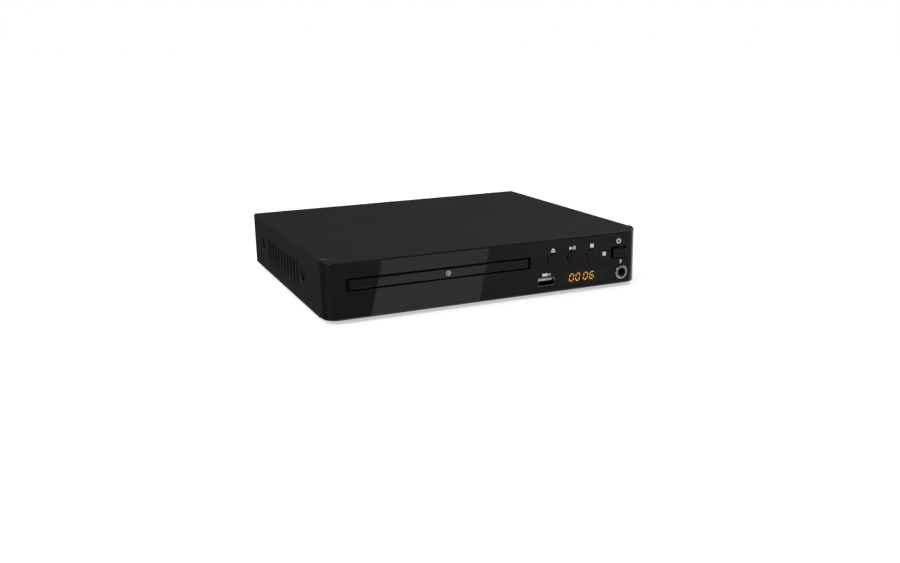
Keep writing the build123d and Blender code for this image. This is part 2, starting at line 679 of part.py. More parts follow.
def with_vent_panel(cover, side):
    """The cover with the shallow pressed-in panel that holds one side's vents."""
    x = side * HALF_WIDTH
    reach = (VENT_COUNT - 1) * VENT_PITCH
    long = reach + VENT_WIDTH + 2 * VENT_PANEL_MARGIN
    tall = VENT_HIGH - VENT_LOW + 2 * VENT_PANEL_MARGIN
    centre = Pos(at(VENT_FIRST + reach / 2), BASE_Z + (VENT_LOW + VENT_HIGH) / 2)
    mouth = centre * RectangleRounded(long, tall, VENT_PANEL_CORNER)
    back = centre * RectangleRounded(long + 2 * SHEET, tall + 2 * SHEET, VENT_PANEL_CORNER + SHEET)
    inside = sorted((x - side * (VENT_PANEL_DEPTH + SHEET), x - side * SHEET * 0.9))
    dent = sorted((x - side * VENT_PANEL_DEPTH, x + side))
    return cover + prism_x(back, *inside) - prism_x(mouth, *dent)


def vent_slot(x, y):
    """One round-ended vertical slot through a side."""
    radius = VENT_WIDTH / 2
    slot = centred(x, y, 4 * SHEET, VENT_WIDTH, BASE_Z + VENT_LOW + radius, BASE_Z + VENT_HIGH - radius)
    for z in (BASE_Z + VENT_LOW + radius, BASE_Z + VENT_HIGH - radius):
        slot += bar_x(y, z, x - 2 * SHEET, x + 2 * SHEET, radius)
    return slot


def with_dimple(cover, side, y):
    """The cover with a pressed-in round dimple and its screw hole."""
    z = BASE_Z + DIMPLE_HEIGHT
    face = side * HALF_WIDTH
    place = Location((face, y, z)) * Rot(0, side * 90, 0)
    deep = DIMPLE_DEPTH
    mouth = Pos(0, 0, -deep / 2) * Cone(DIMPLE_FLOOR_RADIUS, DIMPLE_RADIUS, deep)
    back = Pos(0, 0, -deep / 2 - SHEET) * Cone(DIMPLE_FLOOR_RADIUS + SHEET * 0.6, DIMPLE_RADIUS + SHEET * 0.6, deep)
    hole = Cylinder(SCREW_RADIUS + SCREW_FIT, 4 * deep)
    return cover + place * back - place * mouth - place * Pos(0, 0, 0.5) * Cylinder(DIMPLE_RADIUS, 1) - place * hole


def chassis_base():
    """The steel chassis: floor, side flanges with screw tabs, rear wall with socket holes, and standoffs."""
    half = CHASSIS_HALF
    y0 = at(BEZEL_SIDE_DEPTH + SEAM)
    y1 = at(REAR_WALL_DEPTH)
    pan = block(-half, half, y0, y1, BASE_Z, FLOOR_Z)
    rear_half = HALF_WIDTH - SHEET - SHEET_GAP
    wall = block(-rear_half, rear_half, y1 - SHEET, y1, FLOOR_Z, CEILING_Z - SHEET_GAP)
    pan += fillet(wall.edges().filter_by(Axis.Y).group_by(Axis.Z)[-1], BEND_RADIUS)
    pan += block(-half, half, y1 - SHEET, y1, BASE_Z, FLOOR_Z)
    for side in (-1, 1):
        x0 = min(side * half, side * (half - SHEET))
        pan += block(x0, x0 + SHEET, y0, y1, BASE_Z, BASE_Z + SIDE_FLANGE)
        for depth in side_places():
            tab = block(x0, x0 + SHEET, at(depth) - SIDE_TAB_HALF, at(depth) + SIDE_TAB_HALF,
                        BASE_Z, BASE_Z + SIDE_TAB_HEIGHT)
            tab -= bar_x(at(depth), BASE_Z + DIMPLE_HEIGHT, x0 - 1, x0 + SHEET + 1, SCREW_RADIUS + SCREW_FIT)
            pan += tab
    for x, y, top in standoff_places():
        pan += post(x, y, FLOOR_Z - SHEET / 2, top, STANDOFF_RADIUS)
        pan -= post(x, y, BASE_Z - 1, top + 1, SCREW_RADIUS + SCREW_FIT)
    for x, y in foot_places():
        pan -= post(x, y, BASE_Z - 1, FLOOR_Z + 1, FOOT_STUD_RADIUS)
    pan -= floor_vents() + rear_openings()
    return pan


def standoff_places():
    """Each pillar's X, Y and top: four under the loader, four under each board."""
    loader_top = BASE_Z + FRAME_LOW
    places = [(x, y, loader_top) for x, y in lug_places()]
    places += [(x, y, BOARD_Z) for x, y in board_screw_places()]
    return places


def lug_places():
    """The loader's four screw lugs."""
    reach = FRAME_OUTER + LUG / 2
    return [(TRAY_X + side * reach, at(depth)) for side in (-1, 1)
            for depth in (FRAME_FRONT + LUG_INSET + 6, FRAME_REAR - LUG_INSET)]


def board_screw_places():
    """The four screws of the power board, then the four of the main board."""
    return power_board_holes() + main_board_holes()


def power_board_holes():
    """The power board's four screw holes."""
    left, right, front, rear = power_board_edges()
    gap = BOARD_SCREW_INSET
    return [(x, y) for x in (left + gap, right - gap) for y in (front + gap, rear - gap)]


def main_board_holes():
    """The main board's four screw holes, the rear pair kept clear of the sockets."""
    left, right, front, rear = main_board_edges()
    gap = BOARD_SCREW_INSET
    return [(x, y) for x in (left + gap, right - gap) for y in (front + gap, rear - SOCKET_SCREW_INSET)]


def power_board_edges():
    """Left, right, front and rear edges of the power board."""
    return BOARD_LEFT + 2, POWER_BOARD_RIGHT, at(POWER_BOARD_FRONT), at(POWER_BOARD_FRONT + POWER_BOARD_LENGTH)


def main_board_edges():
    """Left, right, front and rear edges of the main board."""
    return BOARD_LEFT, BOARD_LEFT + MAIN_BOARD_WIDTH, at(MAIN_BOARD_FRONT), at(REAR_WALL_DEPTH - SHEET - 0.6)


def foot_places():
    """The four feet."""
    x = HALF_WIDTH - FOOT_INSET_X
    return [(sx * x, y) for sx in (-1, 1) for y in (at(FOOT_INSET_Y), at(BODY_DEPTH - FOOT_INSET_Y))]


def floor_vents():
    """Two rows of slots in the floor under the power board."""
    left, right, front, rear = power_board_edges()
    centre_x = (left + right) / 2
    first = (front + rear) / 2 - FLOOR_VENT_PITCH * (FLOOR_VENT_COUNT - 1) / 2
    cut = None
    for row in range(FLOOR_VENT_COUNT):
        sketch = Pos(centre_x, first + row * FLOOR_VENT_PITCH) * SlotOverall(FLOOR_VENT_LENGTH, FLOOR_VENT_WIDTH)
        slot = slab(sketch, BASE_Z - 1, FLOOR_Z + 1)
        cut = slot if cut is None else cut + slot
    return cut


def rca_places():
    """The (x, z) places of the four round sockets: two columns of two."""
    low = BASE_Z + RCA_HEIGHT
    return [(RCA_FIRST_X + column * RCA_PITCH, low + row * RCA_PITCH) for column in (0, 1) for row in (1, 0)]


def rear_openings():
    """Holes in the chassis's rear wall for the sockets and the cover screws."""
    y0 = at(REAR_WALL_DEPTH - SHEET - 0.5)
    y1 = at(REAR_WALL_DEPTH + 0.5)
    cuts = None
    for x, z in rca_places():
        hole = bar_y(x, z, y0, y1, RCA_RING_RADIUS + SOCKET_GAP)
        cuts = hole if cuts is None else cuts + hole
    cuts += centred(HDMI_X, (y0 + y1) / 2, HDMI_WIDTH + 2 * SOCKET_GAP, y1 - y0,
                    BASE_Z + HDMI_HEIGHT - HDMI_TALL / 2 - SOCKET_GAP,
                    BASE_Z + HDMI_HEIGHT + HDMI_TALL / 2 + SOCKET_GAP)
    cuts += centred(INLET_X, (y0 + y1) / 2, INLET_WIDTH + 2 * SOCKET_GAP, y1 - y0,
                    BASE_Z + INLET_HEIGHT - INLET_TALL / 2 - SOCKET_GAP,
                    BASE_Z + INLET_HEIGHT + INLET_TALL / 2 + SOCKET_GAP)
    for x in rear_screw_places():
        cuts += bar_y(x, rear_screw_height(), y0, y1, SCREW_RADIUS + SCREW_FIT)
    return cuts


def rubber_feet():
    """Four round feet, each with a stud pushed into the floor."""
    feet = []
    for x, y in foot_places():
        foot = post(x, y, 0, FOOT_HEIGHT, FOOT_RADIUS)
        foot = chamfer(foot.edges().group_by(Axis.Z)[0], FOOT_HEIGHT * 0.2)
        feet.append(foot + post(x, y, FOOT_HEIGHT - 0.5, FOOT_HEIGHT + SHEET + 1.2, FOOT_STUD_RADIUS - SCREW_FIT))
    return Compound(feet)


def cover_screws():
    """Two screws in each side's dimples and three along the rear flange."""
    made = []
    seat = HALF_WIDTH - DIMPLE_DEPTH
    for side in (-1, 1):
        for depth in side_places():
            place = Location((side * seat, at(depth), BASE_Z + DIMPLE_HEIGHT)) * Rot(0, side * 90, 0)
            made.append(place * screw(COVER_SCREW_LENGTH))
    for x in rear_screw_places():
        place = Location((x, at(BODY_DEPTH), rear_screw_height())) * Rot(-90, 0, 0)
        made.append(place * screw(COVER_SCREW_LENGTH))
    return Compound(made)


def inner_screws():
    """Four screws through the loader's lugs and eight that hold the two boards."""
    lug_top = BASE_Z + FRAME_LOW + LUG_THICKNESS
    made = [Pos(x, y, lug_top) * screw(LUG_THICKNESS + 2) for x, y in lug_places()]
    made += [Pos(x, y, BOARD_Z + BOARD) * screw(BOARD + 3) for x, y in board_screw_places()]
    return Compound(made)


# The buttons


def button_places():
    """The X place of each round button by name."""
    names = ("eject_button", "play_button", "stop_button")
    return {name: PLAY_BUTTON_X + (n - 1) * BUTTON_PITCH for n, name in enumerate(names)}


def round_button(x):
    """A round button: domed cap, flange behind the front wall and a stem towards its switch."""
    z = BASE_Z + BUTTON_HEIGHT
    cap = bar_y(x, z, at(-BUTTON_PROUD), at(BEZEL_WALL + 0.5), BUTTON_RADIUS)
    cap = fillet(cap.edges().group_by(Axis.Y)[0], 0.45)
    flange_y = BEZEL_WALL + 0.3
    flange = bar_y(x, z, at(flange_y), at(flange_y + BUTTON_FLANGE), BUTTON_RADIUS + BUTTON_FLANGE_RIM)
    stem = bar_y(x, z, at(flange_y), at(switch_face_depth() - BUTTON_TRAVEL - 0.15), 1.6)
    return cap + flange + stem


def switch_face_depth():
    """How far behind the front the small push switches' plungers end."""
    return FRONT_BOARD_DEPTH - 4.6


def power_button():
    """The square power button, a little proud of its bevelled opening, with its plunger in the switch."""
    z = BASE_Z + POWER_HEIGHT
    cap = Pos(POWER_X, z) * RectangleRounded(POWER_SIZE_X, POWER_SIZE_Z, 0.5)
    cap = prism_y(cap, at(-POWER_PROUD), at(BEZEL_WALL + 2))
    cap = fillet(cap.edges().group_by(Axis.Y)[0], 0.4)
    stem_end = power_switch_front() - POWER_TRAVEL - 0.4
    stem = block(POWER_X - 1.5, POWER_X + 1.5, at(BEZEL_WALL + 1.9), at(stem_end), z - 1.5, z + 1.5)
    plunger = block(POWER_X - PLUNGER, POWER_X + PLUNGER, at(stem_end - 0.1), at(power_switch_front() + 1.2),
                    z - PLUNGER, z + PLUNGER)
    return cap + stem + plunger


def power_switch_front():
    """How far behind the front the power switch's housing starts."""
    return FRONT_BOARD_DEPTH - 4.2


# The front boards and sockets


def front_board():
    """The upright control board, cut away round the microphone socket."""
    y0 = at(FRONT_BOARD_DEPTH)
    board = block(FRONT_BOARD_LEFT, FRONT_BOARD_RIGHT, y0, y0 + BOARD, BASE_Z + 3.2, CEILING_Z - 2)
    half = MIC_BODY_WIDTH / 2 + 1
    notch_top = BASE_Z + MIC_HEIGHT + MIC_BODY_TALL / 2 + BOARD + 0.6
    board -= block(MIC_X - half, FRONT_BOARD_RIGHT + 1, y0 - 1, y0 + BOARD + 1, BASE_Z, notch_top)
    return board


def display_module():
    """The four-digit display's housing, standing off the control board."""
    z = BASE_Z + WINDOW_HEIGHT
    front = at(BEZEL_WALL + WINDOW_FLANGE + 0.25)
    body = centred(DIGIT_CENTRE_X, (front + at(FRONT_BOARD_DEPTH)) / 2, DISPLAY_WIDTH,
                   at(FRONT_BOARD_DEPTH) - front, z - DISPLAY_TALL / 2, z + DISPLAY_TALL / 2)
    for solid in segment_solids():
        body -= solid
    return body


def digit_centres():
    """The X place of each of the four digits, in two pairs."""
    offsets = (-1.5, -0.5, 0.5, 1.5)
    return [DIGIT_CENTRE_X + n * DIGIT_PITCH + (DIGIT_PAIR_GAP / 2 if n > 0 else -DIGIT_PAIR_GAP / 2)
            for n in offsets]


def segment_solids():
    """The lit bars of the four leaning digits, set into the housing's face."""
    front = at(BEZEL_WALL + WINDOW_FLANGE + 0.25)
    z = BASE_Z + WINDOW_HEIGHT
    half_w = (DIGIT_WIDTH - SEGMENT) / 2
    half_h = (DIGIT_TALL - SEGMENT) / 2
    across = DIGIT_WIDTH - 2.4 * SEGMENT
    upright = half_h - 1.35 * SEGMENT
    bars = {"top": (0, half_h, across, SEGMENT), "middle": (0, 0, across, SEGMENT),
            "bottom": (0, -half_h, across, SEGMENT)}
    for side, sx in (("left", -1), ("right", 1)):
        for level, sz in (("low", -1), ("high", 1)):
            bars[side + "_" + level] = (sx * half_w, sz * half_h / 2, SEGMENT, upright)
    dark = {"0": ("middle",), "6": ("right_high",)}
    made = []
    for x, digit in zip(digit_centres(), DIGITS_LIT):
        for name, (dx, dz, width, tall) in bars.items():
            if name not in dark[digit]:
                corners = [(dx + sx * width / 2, dz + sz * tall / 2) for sx, sz in ((-1, -1), (1, -1), (1, 1), (-1, 1))]
                leaning = [(x + cx + cz * tan(radians(DIGIT_LEAN)), z + cz) for cx, cz in corners]
                made.append(prism_y(outline(leaning), front, front + SEGMENT_DEPTH))
    return made


def display_segments():
    """The lit bars of the digits."""
    return Compound(segment_solids())


def front_switches():
    """Three push switches, the standby lamp and the remote sensor on the control board."""
    y = at(FRONT_BOARD_DEPTH)
    z = BASE_Z + BUTTON_HEIGHT
    made = []
    for x in button_places().values():
        body = block(x - 3, x + 3, y - 3.5, y, z - 3, z + 3)
        made.append(body + bar_y(x, z, at(switch_face_depth()), y - 3.4, 1.7))
    lamp = BASE_Z + LIGHT_HEIGHT
    made.append(block(LIGHT_X - 1.5, LIGHT_X + 1.5, y - 1.6, y, lamp - 1.5, lamp + 1.5))
    sensor_x = WINDOW_X + WINDOW_WIDTH / 2 - 2.7
    sensor_z = BASE_Z + WINDOW_HEIGHT
    sensor = block(sensor_x - 2.5, sensor_x + 2.5, at(BEZEL_WALL + WINDOW_FLANGE + 2), y, sensor_z - 3, sensor_z + 3)
    made.append(sensor)
    return Compound(made)


def standby_light():
    """The milky light guide from the front panel back to its lamp."""
    z = BASE_Z + LIGHT_HEIGHT
    half = LIGHT_SIZE / 2
    rod = block(LIGHT_X - half, LIGHT_X + half, at(-0.15), at(FRONT_BOARD_DEPTH - 1.9), z - half, z + half)
    stop = half + 0.8
    collar = block(LIGHT_X - stop, LIGHT_X + stop, at(BEZEL_WALL + 0.2), at(BEZEL_WALL + 1.2), z - stop, z + stop)
    return rod + collar


def power_switch():
    """The latching switch behind the power button, with the guide that its plunger slides in."""
    z = BASE_Z + POWER_HEIGHT
    y = at(FRONT_BOARD_DEPTH)
    front = at(power_switch_front())
    reach = PLUNGER + PLUNGER_FIT
    body = block(POWER_X - 4, POWER_X + 4, front, y, z - 4, z + 3.4)
    return body - block(POWER_X - reach, POWER_X + reach, front - 1, y - 0.8, z - reach, z + reach)


def usb_port():
    """The socket's folded metal shell, open at the front."""
    z = BASE_Z + USB_HEIGHT
    y0 = at(USB_RECESS)
    y1 = at(FRONT_BOARD_DEPTH)
    outer = prism_y(Pos(USB_X, z) * RectangleRounded(USB_WIDTH, USB_TALL, 0.6), y0, y1)
    inner = RectangleRounded(USB_WIDTH - 2 * USB_SHELL, USB_TALL - 2 * USB_SHELL, 0.3)
    return outer - prism_y(Pos(USB_X, z) * inner, y0 - 1, y1 - 1.5)


def usb_tongue():
    """The insulating tongue inside the shell, close under its top, with four contact strips."""
    z = BASE_Z + USB_HEIGHT + USB_TALL / 2 - USB_SHELL - 0.35
    y0 = at(USB_RECESS + TONGUE_SETBACK)
    y1 = at(FRONT_BOARD_DEPTH - 1.5)
    tongue = centred(USB_X, (y0 + y1) / 2, TONGUE_WIDTH, y1 - y0, z - TONGUE_TALL, z)
    for n in (-1.5, -0.5, 0.5, 1.5):
        tongue -= centred(USB_X + n * 2.3, (y0 + y1) / 2, 1.1, y1 - y0 - 1, z - TONGUE_TALL - 0.1, z - TONGUE_TALL + 0.1)
    return tongue


def mic_jack():
    """The microphone socket: a plain bored barrel on a block."""
    z = BASE_Z + MIC_HEIGHT
    front = at(MIC_BODY_FRONT)
    back = front + MIC_BODY_DEPTH
    half = MIC_BODY_WIDTH / 2
    barrel = bar_y(MIC_X, z, mic_mouth(), front + 1, MIC_BARREL_RADIUS)
    body = block(MIC_X - half, MIC_X + half, front, back, z - MIC_BODY_TALL / 2, z + MIC_BODY_TALL / 2)
    return barrel + body - bar_y(MIC_X, z, at(-5), back - 2, MIC_BORE_RADIUS)


def mic_mouth():
    """The Y place of the barrel's front end, just behind the nut's lip."""
    return at(MIC_NUT_LIP + SCREW_FIT - MIC_NUT_PROUD)


def mic_nut():
    """The bright ring nut round the microphone socket, with a lip over the barrel's end."""
    z = BASE_Z + MIC_HEIGHT
    ring = bar_y(MIC_X, z, at(-MIC_NUT_PROUD), at(0), MIC_NUT_RADIUS)
    ring = fillet(ring.edges().group_by(Axis.Y)[0], MIC_NUT_LIP * 0.75)
    ring -= bar_y(MIC_X, z, at(-5), at(1), MIC_BORE_RADIUS + SCREW_FIT)
    return ring - bar_y(MIC_X, z, at(MIC_NUT_LIP - MIC_NUT_PROUD), at(1), MIC_BARREL_RADIUS + SCREW_FIT)


def mic_board():
    """The small level board on top of the microphone socket."""
    z = BASE_Z + MIC_HEIGHT + MIC_BODY_TALL / 2
    half = MIC_BODY_WIDTH / 2
    return block(MIC_X - half, MIC_X + half, at(MIC_BODY_FRONT), at(MIC_BODY_FRONT + MIC_BODY_DEPTH + 4), z, z + BOARD)


# The power board, the main board and the rear sockets


def holed_board(edges, holes):
    """A level board with its screw holes."""
    left, right, front, rear = edges
    board = block(left, right, front, rear, BOARD_Z, BOARD_Z + BOARD)
    for x, y in holes:
        board -= post(x, y, BOARD_Z - 1, BOARD_Z + BOARD + 1, SCREW_RADIUS + SCREW_FIT)
    return board


def psu_board():
    """The power supply's circuit board."""
    return holed_board(power_board_edges(), power_board_holes())


def transformer():
    """The switching transformer: a split core round a wound bobbin."""
    left, right, front, rear = power_board_edges()
    z = BOARD_Z + BOARD
    x = (left + right) / 2 + 1
    y = (front + rear) / 2
    low = z + CORE_LIFT
    high = low + CORE_HEIGHT
    inner = CORE_LENGTH - 2 * CORE_ARM
    core = centred(x, y, CORE_LENGTH, CORE_WIDTH, low, high)
    core -= centred(x, y, inner, CORE_WIDTH + 2, low + CORE_ARM, high - CORE_ARM)
    bobbin = centred(x, y, inner - 0.4, CORE_WIDTH - 2, low + CORE_ARM + 0.2, high - CORE_ARM - 0.2)
    legs = centred(x, y, CORE_LENGTH - CORE_ARM, CORE_WIDTH + CORE_ARM, z, low)
    return core + bobbin + legs + centred(x, y, inner, CORE_WIDTH - 2, low, low + CORE_ARM + 0.4)


def psu_capacitors():
    """The large mains capacitor and three small output ones, standing on the board."""
    left, right, front, rear = power_board_edges()
    z = BOARD_Z + BOARD
    made = [can(right - CAN_INSET, rear - LARGE_CAN_BACK, z, LARGE_CAN_RADIUS, LARGE_CAN_HEIGHT)]
    x = left + 2 * SMALL_CAN_RADIUS
    y = front + 4 * SMALL_CAN_RADIUS
    made += [can(x, y + n * SMALL_CAN_PITCH, z, SMALL_CAN_RADIUS, SMALL_CAN_HEIGHT) for n in range(3)]
    return Compound(made)


def can(x, y, z, radius, height):
    """A standing capacitor with a soft top edge and a crimped waist."""
    body = post(x, y, z, z + height, radius)
    body = fillet(body.edges().group_by(Axis.Z)[-1], 0.6)
    waist = post(x, y, z + 1.6, z + 2.4, radius + 1) - post(x, y, z + 1.5, z + 2.5, radius - 0.35)
    return body - waist


def heatsinks():
    """Finned coolers on the power board and on the main chip."""
    left, right, front, rear = power_board_edges()
    z = BOARD_Z + BOARD
    x = right - CAN_INSET
    y = front + COOLER_FRONT
    tall = centred(x, y, COOLER_WIDTH, COOLER_PLATE, z, z + COOLER_HEIGHT)
    reach = y + (COOLER_PLATE + COOLER_FIN_LENGTH) / 2 - 0.5
    for n in range(-2, 3):
        fin = x + n * (COOLER_WIDTH - 2) / 4
        tall += centred(fin, reach, COOLER_FIN, COOLER_FIN_LENGTH, z + COOLER_PLATE + 1, z + COOLER_HEIGHT)
    cx, cy = main_chip_place()
    base = z + CHIP_HEIGHT
    low = centred(cx, cy, CHIP_COOLER, CHIP_COOLER, base, base + CHIP_COOLER_BASE)
    for n in range(6):
        fin = cx + (n - 2.5) * (CHIP_COOLER - 2) / 5
        low += centred(fin, cy, 1.0, CHIP_COOLER, base + CHIP_COOLER_BASE - 0.2, base + CHIP_COOLER_HEIGHT)
    return Compound([tall, low])


def main_chip_place():
    """Where the main chip sits on the main board."""
    left, right, front, rear = main_board_edges()
    return (left + right) / 2, (front + rear) / 2 - 6


def main_board():
    """The decoder's circuit board."""
    return holed_board(main_board_edges(), main_board_holes())


def main_board_parts():
    """Chips, small capacitors, the crystal and the ribbon sockets on the main board."""
    left, right, front, rear = main_board_edges()
    z = BOARD_Z + BOARD
    cx, cy = main_chip_place()
    made = [centred(cx, cy, CHIP_SIZE, CHIP_SIZE, z, z + CHIP_HEIGHT)]
    row = cy + SMALL_CHIP_ROW
    made.append(centred(cx - MEMORY_OFFSET, row, MEMORY_LENGTH, MEMORY_WIDTH, z, z + SMALL_CHIP_HEIGHT))
    made.append(centred(cx + 2 * MEMORY_OFFSET, row, FLASH_LENGTH, FLASH_WIDTH, z, z + SMALL_CHIP_HEIGHT))
    made.append(centred(cx + CRYSTAL_OFFSET, cy - CHIP_SIZE, CRYSTAL_LENGTH, CRYSTAL_WIDTH, z, z + CRYSTAL_HEIGHT))
    made.append(centred(left + SOCKET_EDGE_INSET, cy, RIBBON_SOCKET_WIDTH, RIBBON_SOCKET_LENGTH,
                        z, z + RIBBON_SOCKET_HEIGHT))
    made.append(centred(cx, front + SOCKET_EDGE_INSET, FRONT_SOCKET_LENGTH, RIBBON_SOCKET_WIDTH,
                        z, z + FRONT_SOCKET_HEIGHT))
    made += [can(right - BOARD_CAN_INSET, cy + (n - 1) * BOARD_CAN_PITCH + 1, z, BOARD_CAN_RADIUS, BOARD_CAN_HEIGHT)
             for n in range(3)]
    return Compound(made)


def rca_housing():
    """The moulded block that carries the four round sockets."""
    x = RCA_FIRST_X + RCA_PITCH / 2
    back = at(REAR_WALL_DEPTH - SHEET - 0.1)
    top = BASE_Z + RCA_HEIGHT + RCA_PITCH + RCA_PITCH / 2 - 0.4
    half = RCA_PITCH - 0.4
    body = block(x - half, x + half, back - 11, back, BOARD_Z + BOARD, top)
    for place, z in rca_places():
        body -= bar_y(place, z, back - 9, back + 1, RCA_RADIUS - RCA_STEP + SCREW_FIT)
    return body


def rca_sockets():
    """The four sockets' metal barrels, each bored for the plug's pin."""
    made = []
    step = at(BODY_DEPTH + RCA_RING_PROUD)
    for x, z in rca_places():
        barrel = bar_y(x, z, step, at(BODY_DEPTH + RCA_LENGTH), RCA_RADIUS)
        barrel = chamfer(barrel.edges().group_by(Axis.Y)[-1], 0.4)
        barrel += bar_y(x, z, at(REAR_WALL_DEPTH - 9), step + 0.1, RCA_RADIUS - RCA_STEP)
        made.append(barrel - bar_y(x, z, at(REAR_WALL_DEPTH - 4), at(BODY_DEPTH + RCA_LENGTH + 1), RCA_HOLE_RADIUS))
    return Compound(made)


def rca_ring(index):
    """The coloured collar round one socket, where it comes through the rear wall."""
    x, z = rca_places()[index]
    y0 = at(REAR_WALL_DEPTH - SHEET)
    y1 = at(BODY_DEPTH + RCA_RING_PROUD)
    ring = bar_y(x, z, y0, y1, RCA_RING_RADIUS)
    ring = chamfer(ring.edges().group_by(Axis.Y)[-1], 0.3)
    return ring - bar_y(x, z, y0 - 1, y1 + 1, RCA_RADIUS - RCA_STEP + SCREW_FIT)


def hdmi_port():
    """The flat digital socket's shell with its tongue, sloping in at the lower corners."""
    z = BASE_Z + HDMI_HEIGHT
    w = HDMI_WIDTH / 2
    h = HDMI_TALL / 2
    shape = [(-w, h), (-w, -h * 0.3), (-w + 1.8, -h), (w - 1.8, -h), (w, -h * 0.3), (w, h)]
    y0 = at(REAR_WALL_DEPTH - 11)
    y1 = at(BODY_DEPTH + 0.3)
    outer = prism_y(outline([(HDMI_X + x, z + v) for x, v in shape]), y0, y1)
    scale_x = (w - 0.4) / w
    scale_z = (h - 0.4) / h
    inner = prism_y(outline([(HDMI_X + x * scale_x, z + v * scale_z) for x, v in shape]), y0 + 1.5, y1 + 1)
    tongue = block(HDMI_X - w + 2, HDMI_X + w - 2, y0 + 1, y1 - 1.5, z + 0.1, z + 1.2)
    feet = block(HDMI_X - w + 2, HDMI_X + w - 2, y0, at(REAR_WALL_DEPTH - SHEET - 0.6), BOARD_Z + BOARD, z - h + 0.1)
    return outer - inner + tongue + feet


def mains_inlet():
    """The two-pin power inlet: a moulded block with a figure-eight socket and its pins."""
    z = BASE_Z + INLET_HEIGHT
    y1 = at(BODY_DEPTH + INLET_FLANGE)
    y0 = at(BODY_DEPTH - INLET_DEPTH)
    body = centred(INLET_X, (y0 + y1) / 2, INLET_WIDTH, y1 - y0, z - INLET_TALL / 2, z + INLET_TALL / 2)
    body += centred(INLET_X, at(REAR_WALL_DEPTH) + (y1 - at(REAR_WALL_DEPTH)) / 2, INLET_WIDTH + 3,
                    y1 - at(REAR_WALL_DEPTH), z - INLET_TALL / 2 - 1.5, z + INLET_TALL / 2 + 1.5)
    half = INLET_PIN_PITCH / 2
    cut = block(INLET_X - half, INLET_X + half, y1 - INLET_SOCKET_DEPTH, y1 + 1,
                z - INLET_LOBE_RADIUS * 0.8, z + INLET_LOBE_RADIUS * 0.8)
    for side in (-1, 1):
        cut += bar_y(INLET_X + side * half, z, y1 - INLET_SOCKET_DEPTH, y1 + 1, INLET_LOBE_RADIUS)
    body -= cut
    for side in (-1, 1):
        pin = bar_y(INLET_X + side * half, z, y1 - INLET_SOCKET_DEPTH - 1, y1 - 1.5, INLET_PIN_RADIUS)
        body += fillet(pin.edges().group_by(Axis.Y)[-1], 0.8)
    return body


def mains_wires():
    """Two insulated wires from the inlet forward to the power board."""
    radius = 1.1
    left, right, front, rear = power_board_edges()
    made = []
    for side in (-1, 1):
        x = INLET_X + side * 2.4
        start = at(BODY_DEPTH - INLET_DEPTH)
        z = BASE_Z + INLET_HEIGHT
        down = BOARD_Z + BOARD + 5.0
        end = BOARD_Z + BOARD
        landing = rear - 7
        points = [(x, start, z), (x, start - 14, z), (x, rear + 12, down + 3), (x, landing, down + 3), (x, landing, end)]
        path = FilletPolyline(*points, radius=3)
        made.append(sweep(Plane(origin=points[0], z_dir=(0, -1, 0)) * Circle(radius), path=path))
    return Compound(made)


def front_ribbon():
    """The flat ribbon from the main board's front socket, over the power board, to the control board."""
    left, right, front, rear = main_board_edges()
    cx = (left + right) / 2
    width = 16.0
    thick = 0.35
    z0 = BOARD_Z + BOARD + 5.0
    y_start = front + 4
    y_end = at(FRONT_BOARD_DEPTH + BOARD)
    high = CEILING_Z - 4.5
    low = BASE_Z + 12.0
    path = [(y_start, z0), (y_start, high), (y_end + 3, high), (y_end + 3, low), (y_end, low)]
    inner = [(y_start + thick, z0), (y_start + thick, high + thick), (y_end + 3 - thick, high + thick),
             (y_end + 3 - thick, low + thick), (y_end, low + thick)]
    strip = outline(path[:1] + inner[:4] + [(y_end, low + thick), (y_end, low), (y_end + 3, low), (y_end + 3, high),
                                            (y_start, high)])
    return prism_x(strip, cx - width / 2, cx + width / 2)


# The loader: frame, tray, drive and clamp


